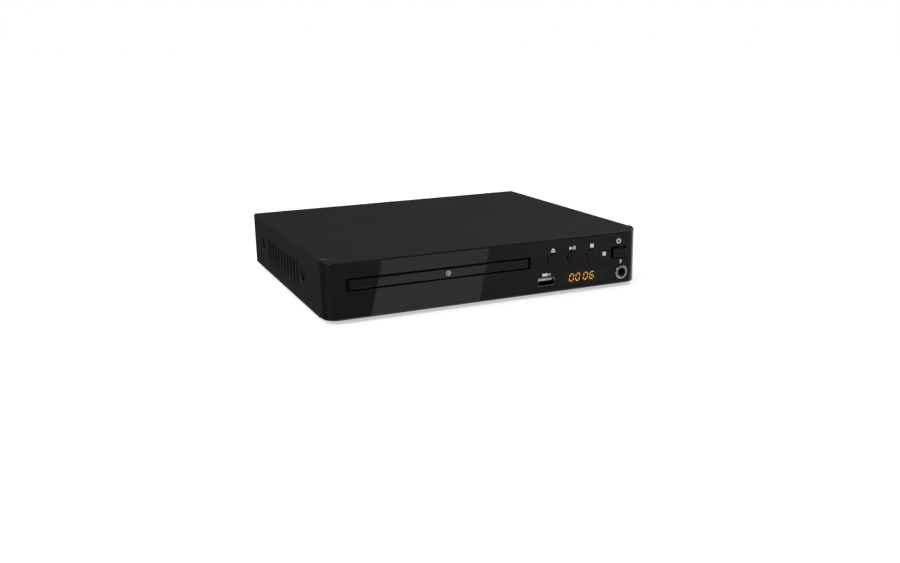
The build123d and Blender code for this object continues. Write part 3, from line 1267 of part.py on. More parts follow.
def loader_frame():
    """The loader's moulded frame: walls, deck, tray ledges, retaining lips, lugs, hooks and gear axles."""
    x0 = TRAY_X - FRAME_OUTER
    x1 = TRAY_X + FRAME_OUTER
    inner0 = TRAY_X - FRAME_INNER
    inner1 = TRAY_X + FRAME_INNER
    y0 = at(FRAME_FRONT)
    y1 = at(FRAME_REAR)
    low = BASE_Z + FRAME_LOW
    frame = block(x0, inner0, y0, y1, low, FRAME_HIGH) + block(inner1, x1, y0, y1, low, FRAME_HIGH)
    frame += block(x0, x1, y1 - FRAME_WALL, y1, low, FRAME_HIGH)
    frame += block(inner0 - 0.1, inner1 + 0.1, y0, y1 - 0.1, DECK_Z - DECK, DECK_Z)
    frame -= block(TRAY_X - UNIT_LEFT - UNIT_GAP, TRAY_X + UNIT_RIGHT + UNIT_GAP, at(DECK_FRONT_REACH),
                   at(UNIT_REAR) + UNIT_GAP, DECK_Z - DECK - 1, DECK_Z + 1)
    frame += block(x0, x1, at(DECK_FRONT_REACH) - FRAME_WALL, at(DECK_FRONT_REACH), low, DECK_Z - 0.1)
    for x, toward in ((inner0, 1), (inner1, -1)):
        ledge = sorted((x - toward * 0.1, x + toward * LEDGE))
        frame += block(*ledge, y0, y1 - 0.1, TRAY_LOW - 0.2 - LEDGE_THICKNESS, TRAY_LOW - 0.2)
        lip = sorted((x - toward * 0.1, x + toward * LIP))
        for depth in (FRAME_FRONT + 8, (FRAME_FRONT + FRAME_REAR) / 2, FRAME_REAR - 16):
            frame += block(*lip, at(depth) - 5, at(depth) + 5, TRAY_HIGH + 0.3, TRAY_HIGH + 0.3 + LIP_THICKNESS)
    frame += drive_axles() + hinge_bosses() + cam_hooks()
    frame -= hinge_bores()
    frame -= post(MOTOR_PULLEY_X, at(MOTOR_DEPTH), DECK_Z - DECK - 1, DECK_Z + 1, MOTOR_SHAFT * 3)
    for x, y in lug_places():
        side = 1 if x > TRAY_X else -1
        reach = sorted((TRAY_X + side * (FRAME_OUTER - 0.2), x + side * LUG / 2))
        frame += block(*reach, y - LUG / 2, y + LUG / 2, low, low + LUG_THICKNESS)
        frame -= post(x, y, low - 1, low + LUG_THICKNESS + 1, SCREW_RADIUS + SCREW_FIT)
    return frame


def drive_axles():
    """The two fixed pins that the tray gear and the pulley gear turn on."""
    pins = post(TRAY_GEAR_X, at(TRAY_GEAR_DEPTH), DECK_Z - 0.1, PINION_HIGH, AXLE_RADIUS)
    return pins + post(PULLEY_GEAR_X, at(TRAY_GEAR_DEPTH), DECK_Z - 0.1, BELT_WHEEL_LOW + WHEEL_FACE, AXLE_RADIUS)


def hinge_bosses():
    """The two bored blocks beside the deck's opening that the spindle unit's hinge pins turn in."""
    y = at(HINGE_DEPTH)
    made = None
    for side, edge in ((-1, TRAY_X - UNIT_LEFT - UNIT_GAP), (1, TRAY_X + UNIT_RIGHT + UNIT_GAP)):
        reach = sorted((edge, edge + side * HINGE_BOSS))
        boss = block(*reach, y - 3.2, y + 3.2, HINGE_Z - AXLE_RADIUS - 1.2, HINGE_Z + AXLE_RADIUS + 1.0)
        made = boss if made is None else made + boss
    return made


def hinge_bores():
    """The bores through both bosses."""
    reach = HINGE_BOSS + 2 * UNIT_GAP
    ends = (TRAY_X - UNIT_LEFT - reach, TRAY_X + UNIT_RIGHT + reach)
    return bar_x(at(HINGE_DEPTH), HINGE_Z, *ends, AXLE_RADIUS + AXLE_FIT)


def cam_hooks():
    """The two hooks that keep the cam slider against the deck's front wall."""
    top = cam_top() + CAM_GAP
    back = at(CAM_DEPTH + CAM_THICKNESS + CAM_GAP)
    made = None
    for x in (cam_centre() - CAM_LENGTH / 2 + CAM_TRAVEL + 2, cam_centre() + CAM_LENGTH / 2 - 2 - CAM_HOOK):
        hook = block(x, x + CAM_HOOK, at(DECK_FRONT_REACH) - 1.5, back + 0.7, top, top + 1.0)
        hook += block(x, x + CAM_HOOK, back, back + 0.7, top - 2.4, top + 0.1)
        hook += block(x, x + CAM_HOOK, at(DECK_FRONT_REACH) - 1.5, at(DECK_FRONT_REACH), DECK_Z - 0.1, top + 0.1)
        made = hook if made is None else made + hook
    return made


def disc_tray():
    """The tray: stepped disc recess, spindle slot, hollow underside with side skirts, and the drive rack."""
    x0 = TRAY_X - TRAY_HALF
    x1 = TRAY_X + TRAY_HALF
    y0 = at(TRAY_FRONT)
    y1 = y0 + TRAY_LENGTH
    cy = at(DISC_CENTRE_DEPTH)
    tray = block(x0, x1, y0, y1, TRAY_LOW, TRAY_HIGH)
    tray = fillet(tray.edges().filter_by(Axis.Z).group_by(Axis.Y)[-1], TRAY_SKIRT * 0.9)
    tray -= post(TRAY_X, cy, TRAY_HIGH - DISC_RECESS, TRAY_HIGH + 1, DISC_RADIUS + DISC_CLEARANCE)
    tray -= post(TRAY_X, cy, TRAY_HIGH - DISC_RECESS - SMALL_RECESS, TRAY_HIGH, SMALL_DISC_RADIUS)
    hollow = block(x0 + TRAY_SKIRT, x1 - TRAY_SKIRT, y0 + TRAY_FRONT_WALL, y1 - TRAY_SKIRT, TRAY_LOW - 1, TRAY_CEILING)
    hollow -= slab(slot_sketch(TRAY_SKIRT), TRAY_LOW - 2, TRAY_HIGH)
    for depth in (FRAME_FRONT + 30, FRAME_REAR - 50):
        hollow -= block(TRAY_X + TRAY_SLOT_HALF, x1, at(depth), at(depth) + TRAY_SKIRT, TRAY_LOW - 2, TRAY_HIGH)
    channel = TRAY_GEAR_X + TRAY_PINION_RADIUS + GEAR_MODULE + CHANNEL_GAP
    hollow += block(x0 + TRAY_SKIRT, channel, y1 - TRAY_SKIRT - 1, y1 + 1, TRAY_LOW - 1, TRAY_CEILING)
    tray -= hollow + slab(slot_sketch(0), TRAY_LOW - 2, TRAY_HIGH + 1)
    tooth_at = at(TRAY_GEAR_DEPTH) + pi * GEAR_MODULE / 2
    count = int((TRAY_LENGTH - TRAY_FRONT_WALL - 5) / (pi * GEAR_MODULE))
    rack = rack_outline(RACK_X, y0 + TRAY_FRONT_WALL + 4, count, GEAR_MODULE, RACK_BACK + 0.1, 1, tooth_at)
    return tray + slab(rack, TRAY_LOW, TRAY_CEILING + 0.1)


def slot_sketch(margin):
    """The opening over the spindle and pickup, or its rim where the margin isn't 0."""
    cy = at(DISC_CENTRE_DEPTH)
    rear = at(TRAY_FRONT) + TRAY_LENGTH - TRAY_TAIL + margin
    half = TRAY_SLOT_HALF + margin
    straight = Pos(TRAY_X, (cy + rear) / 2) * Rectangle(2 * half, rear - cy)
    straight = fillet(straight.vertices().group_by(Axis.Y)[-1], 4)
    return straight + Pos(TRAY_X, cy) * Ellipse(half, TRAY_SLOT_FRONT + margin)


def tray_door():
    """The glossy strip on the tray's front end, which closes the opening."""
    sketch = Pos(TRAY_X, DOOR_Z) * Rectangle(TRAY_WIDTH - 2 * DOOR_INSET, DOOR_HEIGHT)
    door = prism_y(sketch, at(-DOOR_PROUD), at(TRAY_FRONT))
    return fillet(door.edges().group_by(Axis.Y)[0], 0.4)


def tray_gear():
    """The stepped gear: a wheel that the pulley's pinion turns, and a pinion in the tray's rack."""
    x, y = TRAY_GEAR_X, at(TRAY_GEAR_DEPTH)
    high = WHEEL_GEAR_LOW + WHEEL_GEAR_FACE
    wheel = slab(Pos(x, y) * gear_outline(TRAY_WHEEL_TEETH, GEAR_MODULE, 0.0), WHEEL_GEAR_LOW, high)
    neck = post(x, y, high - 0.1, PINION_LOW + 0.1, AXLE_RADIUS + 2.4)
    pinion = slab(Pos(x, y) * gear_outline(TRAY_PINION_TEETH, GEAR_MODULE, 180.0), PINION_LOW, PINION_HIGH)
    return wheel + neck + pinion - post(x, y, DECK_Z, TRAY_HIGH, AXLE_RADIUS + AXLE_FIT)


def pulley_gear():
    """The belt wheel with its pinion underneath."""
    x, y = PULLEY_GEAR_X, at(TRAY_GEAR_DEPTH)
    phase = 180.0 + 180.0 / PULLEY_PINION_TEETH
    pinion = slab(Pos(x, y) * gear_outline(PULLEY_PINION_TEETH, GEAR_MODULE, phase), WHEEL_GEAR_LOW,
                  BELT_WHEEL_LOW + 0.1)
    wheel = grooved(x, y, BELT_WHEEL_LOW, WHEEL_FACE, WHEEL_RADIUS, WHEEL_FLANGE)
    return pinion + wheel - post(x, y, DECK_Z, TRAY_LOW + 1, AXLE_RADIUS + AXLE_FIT)


def grooved(x, y, low, face, radius, flange):
    """A pulley: two flanges with a flat-bottomed belt groove between them."""
    wall = (face - BELT - BELT_PLAY) / 2
    wheel = post(x, y, low, low + face, radius + flange)
    groove = post(x, y, low + wall, low + face - wall, radius + flange + 1)
    return wheel - (groove - post(x, y, low, low + face, radius))


def motor_pulley():
    """The small belt pulley on the tray motor's shaft."""
    x, y = MOTOR_PULLEY_X, at(MOTOR_DEPTH)
    wheel = grooved(x, y, BELT_WHEEL_LOW, WHEEL_FACE, MOTOR_PULLEY_RADIUS, WHEEL_FLANGE)
    return wheel - post(x, y, BELT_WHEEL_LOW - 1, TRAY_LOW, MOTOR_SHAFT + AXLE_FIT)


def tray_motor():
    """The motor under the deck, with its shaft up through the small pulley."""
    x, y = MOTOR_PULLEY_X, at(MOTOR_DEPTH)
    top = DECK_Z - DECK
    body = post(x, y, top - MOTOR_HEIGHT, top, MOTOR_RADIUS)
    body = fillet(body.edges().group_by(Axis.Z)[0], 0.8)
    boss = post(x, y, top - 0.1, top + 1.5, MOTOR_SHAFT * 2.4)
    return body + boss + post(x, y, top, BELT_WHEEL_LOW + WHEEL_FACE, MOTOR_SHAFT)


def drive_belt():
    """The square rubber belt round the two pulleys."""
    big = (PULLEY_GEAR_X, at(TRAY_GEAR_DEPTH), WHEEL_RADIUS + BELT_PLAY)
    small = (MOTOR_PULLEY_X, at(MOTOR_DEPTH), MOTOR_PULLEY_RADIUS + BELT_PLAY)
    low = BELT_WHEEL_LOW + (WHEEL_FACE - BELT) / 2
    return slab(loop(big, small, BELT) - loop(big, small, 0), low, low + BELT)


def loop(big, small, thickness):
    """The filled outline of a taut loop round two circles, each given as x, y and radius."""
    x0, y0, r0 = big
    x1, y1, r1 = small
    r0 += thickness
    r1 += thickness
    heading = atan2(y1 - y0, x1 - x0)
    lean = acos((r0 - r1) / sqrt((x1 - x0) ** 2 + (y1 - y0) ** 2))
    corners = []
    for x, y, r, turn in ((x0, y0, r0, lean), (x1, y1, r1, lean), (x1, y1, r1, -lean), (x0, y0, r0, -lean)):
        corners.append((x + r * cos(heading + turn), y + r * sin(heading + turn)))
    return outline(corners) + Pos(x0, y0) * Circle(r0) + Pos(x1, y1) * Circle(r1)


def clamp_bridge():
    """The bridge over the tray that carries the disc clamp."""
    y = at(DISC_CENTRE_DEPTH)
    x0 = TRAY_X - FRAME_OUTER
    x1 = TRAY_X + FRAME_OUTER
    bridge = block(x0, x1, y - BRIDGE_WIDTH / 2, y + BRIDGE_WIDTH / 2, FRAME_HIGH, BRIDGE_TOP)
    bridge -= post(TRAY_X, y, FRAME_HIGH - 1, BRIDGE_TOP + 1, CLAMP_NECK + CLAMP_CLEARANCE)
    for side in (-1, 1):
        rib = centred(TRAY_X + side * 40, y, 34, BRIDGE_WIDTH - 20, FRAME_HIGH - 1, BRIDGE_TOP + 1)
        bridge -= fillet(rib.edges().filter_by(Axis.Z), 3)
        edge = y + side * (BRIDGE_WIDTH / 2 - 0.6)
        bridge += block(x0, x1, edge - 0.6, edge + 0.6, BRIDGE_TOP - 0.1, BRIDGE_TOP + 2.2)
    return bridge


def disc_clamp():
    """The clamp puck that hangs in the bridge: flange above, neck, and pressing plate below."""
    y = at(DISC_CENTRE_DEPTH)
    flange_low = BRIDGE_TOP + CLAMP_CLEARANCE
    plate_low = TRAY_HIGH + 0.5
    puck = post(TRAY_X, y, flange_low, flange_low + CLAMP_PLATE, CLAMP_FLANGE)
    puck += post(TRAY_X, y, plate_low, flange_low + 0.1, CLAMP_NECK)
    puck += post(TRAY_X, y, plate_low, plate_low + CLAMP_PLATE, CLAMP_RADIUS)
    puck -= post(TRAY_X, y, plate_low - 1, plate_low + 1.2, CONE_RADIUS + 0.6)
    return puck - post(TRAY_X, y, plate_low + 2.4, flange_low + CLAMP_PLATE + 1, CLAMP_NECK - 2)


def cam_centre():
    """The X place of the cam slider's middle with the spindle unit lowered."""
    return TRAY_X + CAM_PEG_X - CAM_TRAVEL / 2


def cam_top():
    """The height of the cam slider's top edge."""
    return CAM_PEG_HIGH + CAM_PEG_RADIUS + CAM_PEG_PLAY + CAM_RIM


def cam_slider():
    """The slider with the sloped slot that raises and lowers the spindle unit by its peg."""
    y0 = at(CAM_DEPTH)
    y1 = at(CAM_DEPTH + CAM_THICKNESS)
    low = lowered_peg_height()
    width = CAM_PEG_RADIUS + CAM_PEG_PLAY
    half = CAM_LENGTH / 2
    plate = block(cam_centre() - half, cam_centre() + half, y0, y1, low - width - CAM_RIM, cam_top())
    slope = degrees(atan2(CAM_PEG_HIGH - low, -CAM_TRAVEL))
    run = sqrt(CAM_TRAVEL ** 2 + (CAM_PEG_HIGH - low) ** 2)
    middle = Pos(cam_centre(), (CAM_PEG_HIGH + low) / 2)
    slot = middle * Rot(0, 0, slope) * SlotCenterToCenter(run, 2 * width)
    return plate - prism_y(slot, y0 - 1, y1 + 1)


def lowered_peg_height():
    """The height of the peg's axis with the spindle unit lowered."""
    away = CAM_PEG_DEPTH - HINGE_DEPTH
    up = CAM_PEG_HIGH - HINGE_Z
    return HINGE_Z + away * sin(radians(UNIT_TILT)) + up * cos(radians(UNIT_TILT))


# The spindle and pickup unit


def lift_frame():
    """The tilting moulded frame: a ring with hinge pins at the rear and the cam's peg at the front."""
    x0 = TRAY_X - UNIT_LEFT
    x1 = TRAY_X + UNIT_RIGHT
    y0 = at(UNIT_FRONT)
    low = UNIT_TOP - UNIT_THICKNESS
    front, rear = damper_depths()
    ring = block(x0, x1, y0, at(UNIT_REAR), low, UNIT_TOP)
    ring -= block(x0 + UNIT_BAR, x1 - UNIT_BAR, at(front) + DAMPER_RADIUS + 1, at(rear) - DAMPER_RADIUS - 1,
                  low - 1, UNIT_TOP + 1)
    pin = UNIT_GAP + HINGE_BOSS - 0.5
    ring += bar_x(at(HINGE_DEPTH), HINGE_Z, x0 - pin, x0 + 0.5, AXLE_RADIUS)
    ring += bar_x(at(HINGE_DEPTH), HINGE_Z, x1 - 0.5, x1 + pin, AXLE_RADIUS)
    ring += bar_y(TRAY_X + CAM_PEG_X, CAM_PEG_HIGH, at(CAM_DEPTH) - 0.1, y0 + 1, CAM_PEG_RADIUS)
    return lowered(ring)


def damper_depths():
    """How far back the front and rear pairs of dampers stand."""
    return UNIT_FRONT + 7.0, UNIT_REAR - 4.6


def damper_places():
    """The four dampers' X and Y."""
    return [(TRAY_X + side * 22.0, at(depth)) for side in (-1, 1) for depth in damper_depths()]


def rubber_dampers():
    """Four soft bushes between the tilting frame and the steel plate."""
    made = [lowered(post(x, y, UNIT_TOP, PLATE_Z, DAMPER_RADIUS)) for x, y in damper_places()]
    return Compound(made)


def traverse_plate():
    """The steel plate that carries the spindle motor, the guide rods and the feed gears."""
    y0 = at(UNIT_FRONT + 1)
    y1 = at(UNIT_REAR - 0.5)
    top = PLATE_Z + PLATE
    plate = block(TRAY_X - PLATE_HALF, TRAY_X + PLATE_HALF, y0, y1, PLATE_Z, top)
    plate += block(FEED_GEAR_X - FEED_MOTOR_RADIUS - 2, TRAY_X - PLATE_HALF + 1,
                   at(FEED_MOTOR_DEPTH - FEED_MOTOR_RADIUS), at(FEED_GEAR_DEPTH + FEED_WHEEL_RADIUS), PLATE_Z, top)
    plate -= block(TRAY_X - PICKUP_HALF - 3, TRAY_X + PICKUP_HALF + 3, pickup_y(-PICKUP_FRONT - 1.2),
                   pickup_y(PICKUP_TRAVEL + PICKUP_BACK + 1.2), PLATE_Z - 1, top + 1)
    plate -= post(TRAY_X, at(DISC_CENTRE_DEPTH), PLATE_Z - 1, top + 1, 4.4)
    for side in (-1, 1):
        for y in guide_ends():
            plate += centred(TRAY_X + side * GUIDE_HALF, y, 6, 3, GUIDE_Z - 2.6, PLATE_Z + 0.1)
    plate += post(FEED_GEAR_X, at(FEED_GEAR_DEPTH), FEED_WHEEL_TOP - FEED_FACE, PLATE_Z + 0.1, AXLE_RADIUS - 0.5)
    return lowered(plate - guide_bars())


def pickup_y(offset):
    """A Y place on the pickup unit, measured back from the lens at its home place."""
    return at(DISC_CENTRE_DEPTH + PICKUP_HOME) + offset


def guide_ends():
    """The Y places of the holders at the guide rods' two ends."""
    return pickup_y(-PICKUP_FRONT - 2.2), pickup_y(PICKUP_TRAVEL + PICKUP_BACK + 2.2)


def guide_bars():
    """The two guide rods in their raised place."""
    y0, y1 = guide_ends()
    bars = [bar_y(TRAY_X + side * GUIDE_HALF, GUIDE_Z, y0 - 1.5, y1 + 1.5, GUIDE_RADIUS) for side in (-1, 1)]
    return Compound(bars)


def guide_rods():
    """The polished rods that the pickup slides on."""
    return lowered(guide_bars())


def spindle_motor():
    """The disc motor under the plate, with a boss up through it."""
    y = at(DISC_CENTRE_DEPTH)
    body = post(TRAY_X, y, PLATE_Z - SPINDLE_MOTOR_HEIGHT, PLATE_Z, SPINDLE_MOTOR_RADIUS)
    body = fillet(body.edges().group_by(Axis.Z)[0], 0.8)
    body += post(TRAY_X, y, PLATE_Z - 0.1, PLATE_Z + PLATE + 0.8, 4.0)
    bore = post(TRAY_X, y, PLATE_Z - SPINDLE_MOTOR_HEIGHT + 1.5, PLATE_Z + 5, MOTOR_SHAFT + AXLE_FIT)
    return lowered(body - bore)


def turntable():
    """The disc seat with its centring cone and shaft."""
    y = at(DISC_CENTRE_DEPTH)
    rim = post(TRAY_X, y, SEAT_Z - TURNTABLE_RIM, SEAT_Z, TURNTABLE_RADIUS)
    rim -= post(TRAY_X, y, SEAT_Z - 0.5, SEAT_Z + 1, TURNTABLE_RADIUS - 2.6)
    cone = Pos(TRAY_X, y, SEAT_Z + CONE_HEIGHT / 2 - 0.4) * Cone(CONE_RADIUS, CONE_RADIUS - 0.9, CONE_HEIGHT + 0.8)
    neck = post(TRAY_X, y, PLATE_Z + PLATE + 1.1, SEAT_Z - TURNTABLE_RIM + 0.1, 3.6)
    shaft = post(TRAY_X, y, PLATE_Z - SPINDLE_MOTOR_HEIGHT + 2, SEAT_Z, MOTOR_SHAFT)
    return lowered(rim + cone + neck + shaft)


def pickup():
    """The optical pickup at its home place: body, bearings on the guide rods, actuator housing and drive rack."""
    y0 = pickup_y(-PICKUP_FRONT)
    y1 = pickup_y(PICKUP_BACK)
    low = GUIDE_Z - 3.2
    body = block(TRAY_X - PICKUP_HALF, TRAY_X + PICKUP_HALF, y0, y1, low, PLATE_Z + PLATE + 1.4)
    body = chamfer(body.edges().filter_by(Axis.Z).group_by(Axis.Y)[-1], 4)
    body += block(TRAY_X - 9, TRAY_X + 9, y0 + 0.6, y1 - 2, PLATE_Z, LENS_TOP - 0.7)
    body -= post(TRAY_X, pickup_y(0), LENS_TOP - 2.4 - LENS_PLAY, LENS_TOP + 1, LENS_RADIUS + 1.6 + LENS_PLAY)
    arm_low = FEED_WHEEL_TOP + 0.35
    for side in (-1, 1):
        inner = TRAY_X + side * (PICKUP_HALF - 1)
        outer = TRAY_X + side * (GUIDE_HALF + 3)
        body += block(min(inner, outer), max(inner, outer), y0 + 2, y1 - 3, arm_low, PLATE_Z - 0.3)
        body -= bar_y(TRAY_X + side * GUIDE_HALF, GUIDE_Z, y0, y1, GUIDE_RADIUS + AXLE_FIT)
    pitch = pi * FEED_MODULE
    line = TRAY_X - FEED_RACK_OFFSET
    count = int((PICKUP_TRAVEL + 8) / pitch) + 1
    tooth_at = at(FEED_GEAR_DEPTH) + pitch / 2
    rack = rack_outline(line, at(FEED_GEAR_DEPTH) - PICKUP_TRAVEL - 4, count, FEED_MODULE,
                        FEED_RACK_WIDTH - 1.15 * FEED_MODULE, -1, tooth_at)
    strip = slab(rack, FEED_RACK_LOW, FEED_RACK_LOW + FEED_FACE)
    strip += block(line + FEED_RACK_WIDTH - 1, TRAY_X - GUIDE_HALF - 2.5, y0 + 2, y1 - 3,
                   FEED_RACK_LOW, FEED_RACK_LOW + FEED_FACE)
    return lowered(body + strip)


def objective_lens():
    """The small lens in its holder on top of the pickup."""
    top = LENS_TOP
    holder = post(TRAY_X, pickup_y(0), top - 2.4, top - 0.8, LENS_RADIUS + 1.6)
    holder += post(TRAY_X, pickup_y(0), top - 0.9, top - 0.4, LENS_RADIUS)
    cap = Pos(TRAY_X, pickup_y(0), top - 0.4 - lens_ball() + 0.4) * Sphere(lens_ball())
    dome = cap & post(TRAY_X, pickup_y(0), top - 0.5, top + 1, LENS_RADIUS - 0.1)
    return lowered(holder + dome)


def lens_ball():
    """The radius of the ball that the lens's face is part of."""
    rise = 0.4
    return (LENS_RADIUS ** 2 + rise ** 2) / (2 * rise)


def feed_gear():
    """The stepped gear that drives the pickup: a wheel below and a pinion above."""
    x, y = FEED_GEAR_X, at(FEED_GEAR_DEPTH)
    wheel = slab(Pos(x, y) * gear_outline(FEED_WHEEL_TEETH, FEED_MODULE, 0.0), FEED_WHEEL_TOP - FEED_FACE,
                 FEED_WHEEL_TOP)
    pinion = slab(Pos(x, y) * gear_outline(FEED_PINION_TEETH, FEED_MODULE, 0.0), FEED_WHEEL_TOP - 0.1,
                  FEED_RACK_LOW + FEED_FACE)
    bore = post(x, y, FEED_WHEEL_TOP - 5, PLATE_Z, AXLE_RADIUS - 0.5 + AXLE_FIT)
    return lowered(wheel + pinion - bore)


def feed_pinion():
    """The pinion on the feed motor's shaft."""
    x, y = FEED_GEAR_X, at(FEED_MOTOR_DEPTH)
    toward = 90.0
    slot = gear_phase_facing(FEED_WHEEL_TEETH, 0.0, -90.0)
    phase = toward + (0.5 - slot) * 360.0 / FEED_PINION_TEETH
    gear = slab(Pos(x, y) * gear_outline(FEED_PINION_TEETH, FEED_MODULE, phase), FEED_WHEEL_TOP - FEED_FACE,
                FEED_WHEEL_TOP)
    bore = post(x, y, FEED_WHEEL_TOP - 5, FEED_WHEEL_TOP + 5, MOTOR_SHAFT + AXLE_FIT)
    return lowered(gear - bore)


def gear_phase_facing(teeth, phase, heading):
    """How far past a tooth's centre a gear is at a heading, as a share of one pitch."""
    return ((heading - phase) / (360.0 / teeth)) % 1.0


def feed_motor():
    """The flat motor that drives the pickup's gears, on its bracket under the plate."""
    x, y = FEED_GEAR_X, at(FEED_MOTOR_DEPTH)
    top = FEED_WHEEL_TOP - FEED_FACE - 0.3
    body = post(x, y, top - FEED_MOTOR_HEIGHT, top, FEED_MOTOR_RADIUS)
    shaft = post(x, y, top - 1, FEED_WHEEL_TOP, MOTOR_SHAFT)
    arm = block(x - FEED_MOTOR_RADIUS - 1.2, x - FEED_MOTOR_RADIUS + 0.9, y - 3, y + 3, top - 2, PLATE_Z)
    return lowered(body + shaft + arm)


NODES = {
    "front_bezel": front_bezel,
    "display_window": display_window,
    "top_cover": top_cover,
    "chassis_base": chassis_base,
    "rubber_feet": rubber_feet,
    "cover_screws": cover_screws,
    "inner_screws": inner_screws,
    "eject_button": lambda: round_button(button_places()["eject_button"]),
    "play_button": lambda: round_button(button_places()["play_button"]),
    "stop_button": lambda: round_button(button_places()["stop_button"]),
    "power_button": power_button,
    "front_board": front_board,
    "display_module": display_module,
    "display_segments": display_segments,
    "front_switches": front_switches,
    "standby_light": standby_light,
    "power_switch": power_switch,
    "usb_port": usb_port,
    "usb_tongue": usb_tongue,
    "mic_jack": mic_jack,
    "mic_nut": mic_nut,
    "mic_board": mic_board,
    "psu_board": psu_board,
    "transformer": transformer,
    "psu_capacitors": psu_capacitors,
    "heatsinks": heatsinks,
    "main_board": main_board,
    "main_board_parts": main_board_parts,
    "rca_housing": rca_housing,
    "rca_sockets": rca_sockets,
    "rca_ring_yellow": lambda: rca_ring(0),
    "rca_ring_orange": lambda: rca_ring(1),
    "rca_ring_white": lambda: rca_ring(2),
    "rca_ring_red": lambda: rca_ring(3),
    "hdmi_port": hdmi_port,
    "mains_inlet": mains_inlet,
    "mains_wires": mains_wires,
    "front_ribbon": front_ribbon,
    "loader_frame": loader_frame,
    "disc_tray": disc_tray,
    "tray_door": tray_door,
    "tray_gear": tray_gear,
    "pulley_gear": pulley_gear,
    "motor_pulley": motor_pulley,
    "tray_motor": tray_motor,
    "drive_belt": drive_belt,
    "clamp_bridge": clamp_bridge,
    "disc_clamp": disc_clamp,
    "cam_slider": cam_slider,
    "lift_frame": lift_frame,
    "rubber_dampers": rubber_dampers,
    "traverse_plate": traverse_plate,
    "guide_rods": guide_rods,
    "spindle_motor": spindle_motor,
    "turntable": turntable,
    "pickup": pickup,
    "objective_lens": objective_lens,
    "feed_gear": feed_gear,
    "feed_pinion": feed_pinion,
    "feed_motor": feed_motor,
}


def main():
    os.makedirs("parts", exist_ok=True)
    for name, make in NODES.items():
        export_step(make(), f"parts/{name}.step")


if __name__ == "__main__":
    main()
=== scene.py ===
"""Looks for a slim disc player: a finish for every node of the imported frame, the printed symbols, the memory
socket's contacts, the light and the camera. All lengths are in metres, and places follow the frame.
"""

from math import cos, radians, sin

import bmesh
import bpy
from bpy.props import BoolProperty, FloatProperty, FloatVectorProperty, IntProperty, PointerProperty
from bpy.types import Operator, Panel, PropertyGroup
from mathutils import Matrix, Vector


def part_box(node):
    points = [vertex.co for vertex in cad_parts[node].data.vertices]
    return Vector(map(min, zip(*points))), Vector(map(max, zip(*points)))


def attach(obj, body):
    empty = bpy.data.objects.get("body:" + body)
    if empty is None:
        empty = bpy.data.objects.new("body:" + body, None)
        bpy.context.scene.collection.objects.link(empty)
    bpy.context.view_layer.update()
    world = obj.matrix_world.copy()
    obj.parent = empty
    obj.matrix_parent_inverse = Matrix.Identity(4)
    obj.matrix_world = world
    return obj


bl_info = {
    "name": "Disc player looks",
    "version": (1, 0, 0),
    "blender": (4, 5, 0),
    "location": "View3D > Sidebar > Disc player",
    "description": "Finishes, printed symbols, contacts, light and camera for a slim disc player",
    "category": "Object",
}

MM = 0.001
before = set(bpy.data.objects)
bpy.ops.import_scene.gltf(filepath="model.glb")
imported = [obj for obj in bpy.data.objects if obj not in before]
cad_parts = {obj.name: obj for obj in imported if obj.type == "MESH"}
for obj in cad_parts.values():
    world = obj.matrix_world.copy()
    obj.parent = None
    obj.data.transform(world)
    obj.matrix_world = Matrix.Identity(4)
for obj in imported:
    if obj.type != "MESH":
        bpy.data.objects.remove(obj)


# Settings


def length(name, default, description, low, high):
    """A length in metres, shown in the scene's own unit."""
    return FloatProperty(name=name, description=description, default=default, min=low, max=high, unit="LENGTH",
                         precision=5)


def number(name, default, description, high, low=0.0, **kind):
    """A plain number from low to high."""
    return FloatProperty(name=name, description=description, default=default, min=low, max=high, **kind)


def angle(name, degrees, description):
    """An angle, given here in degrees."""
    return FloatProperty(name=name, description=description, default=radians(degrees), subtype="ANGLE",
                         unit="ROTATION")


def share(name, default, description):
    """A value from 0 to 1."""
    return FloatProperty(name=name, description=description, default=default, min=0.0, max=1.0, subtype="FACTOR")


def colour(name, default, description):
    """A colour that the user may pick."""
    return FloatVectorProperty(name=name, description=description, default=default, min=0.0, max=1.0, size=3,
                               subtype="COLOR")


class FrontSettings(PropertyGroup):
    """The glossy front, its door and its buttons."""

    tint: colour("Front colour", (0.0118, 0.0107, 0.0117), "Colour of the glossy moulding")
    button_tint: colour("Button colour", (0.0110, 0.0100, 0.0109), "Colour of the buttons")
    roughness: share("Front roughness", 0.035, "How far the gloss is from a mirror")
    gloss: share("Front gloss", 0.42, "Strength of the front's reflections")


class CoverSettings(PropertyGroup):
    """The painted steel cover."""

    tint: colour("Cover colour", (0.0176, 0.0160, 0.0166), "Colour of the fine matt paint")
    roughness: share("Cover roughness", 0.62, "Roughness of the paint")
    grain: length("Paint grain", 0.00045, "Size of the paint's fine texture", 0.0001, 0.005)
    dust: share("Dust", 0.09, "How much fine dust lies on the cover")


class SymbolSettings(PropertyGroup):
    """The symbols printed on the front."""

    ink: colour("Ink colour", (0.78, 0.78, 0.79), "Colour of the printed symbols")
    height: length("Symbol height", 0.0031, "Height of the symbols over the buttons", 0.001, 0.01)
    gap: length("Symbol gap", 0.0011, "Room between a button and its symbol", 0.0, 0.01)
    thickness: length("Ink thickness", 0.00005, "How far the ink stands proud", 0.00001, 0.0005)


class DisplaySettings(PropertyGroup):
    """The lit digits behind the smoked window."""

    glow: colour("Digit colour", (1.0, 0.46, 0.05), "Colour of the lit bars")
    strength: number("Digit strength", 30.0, "Brightness of the lit bars", 200.0)
    smoke: colour("Window colour", (0.060, 0.055, 0.060), "Colour that the window lets through")


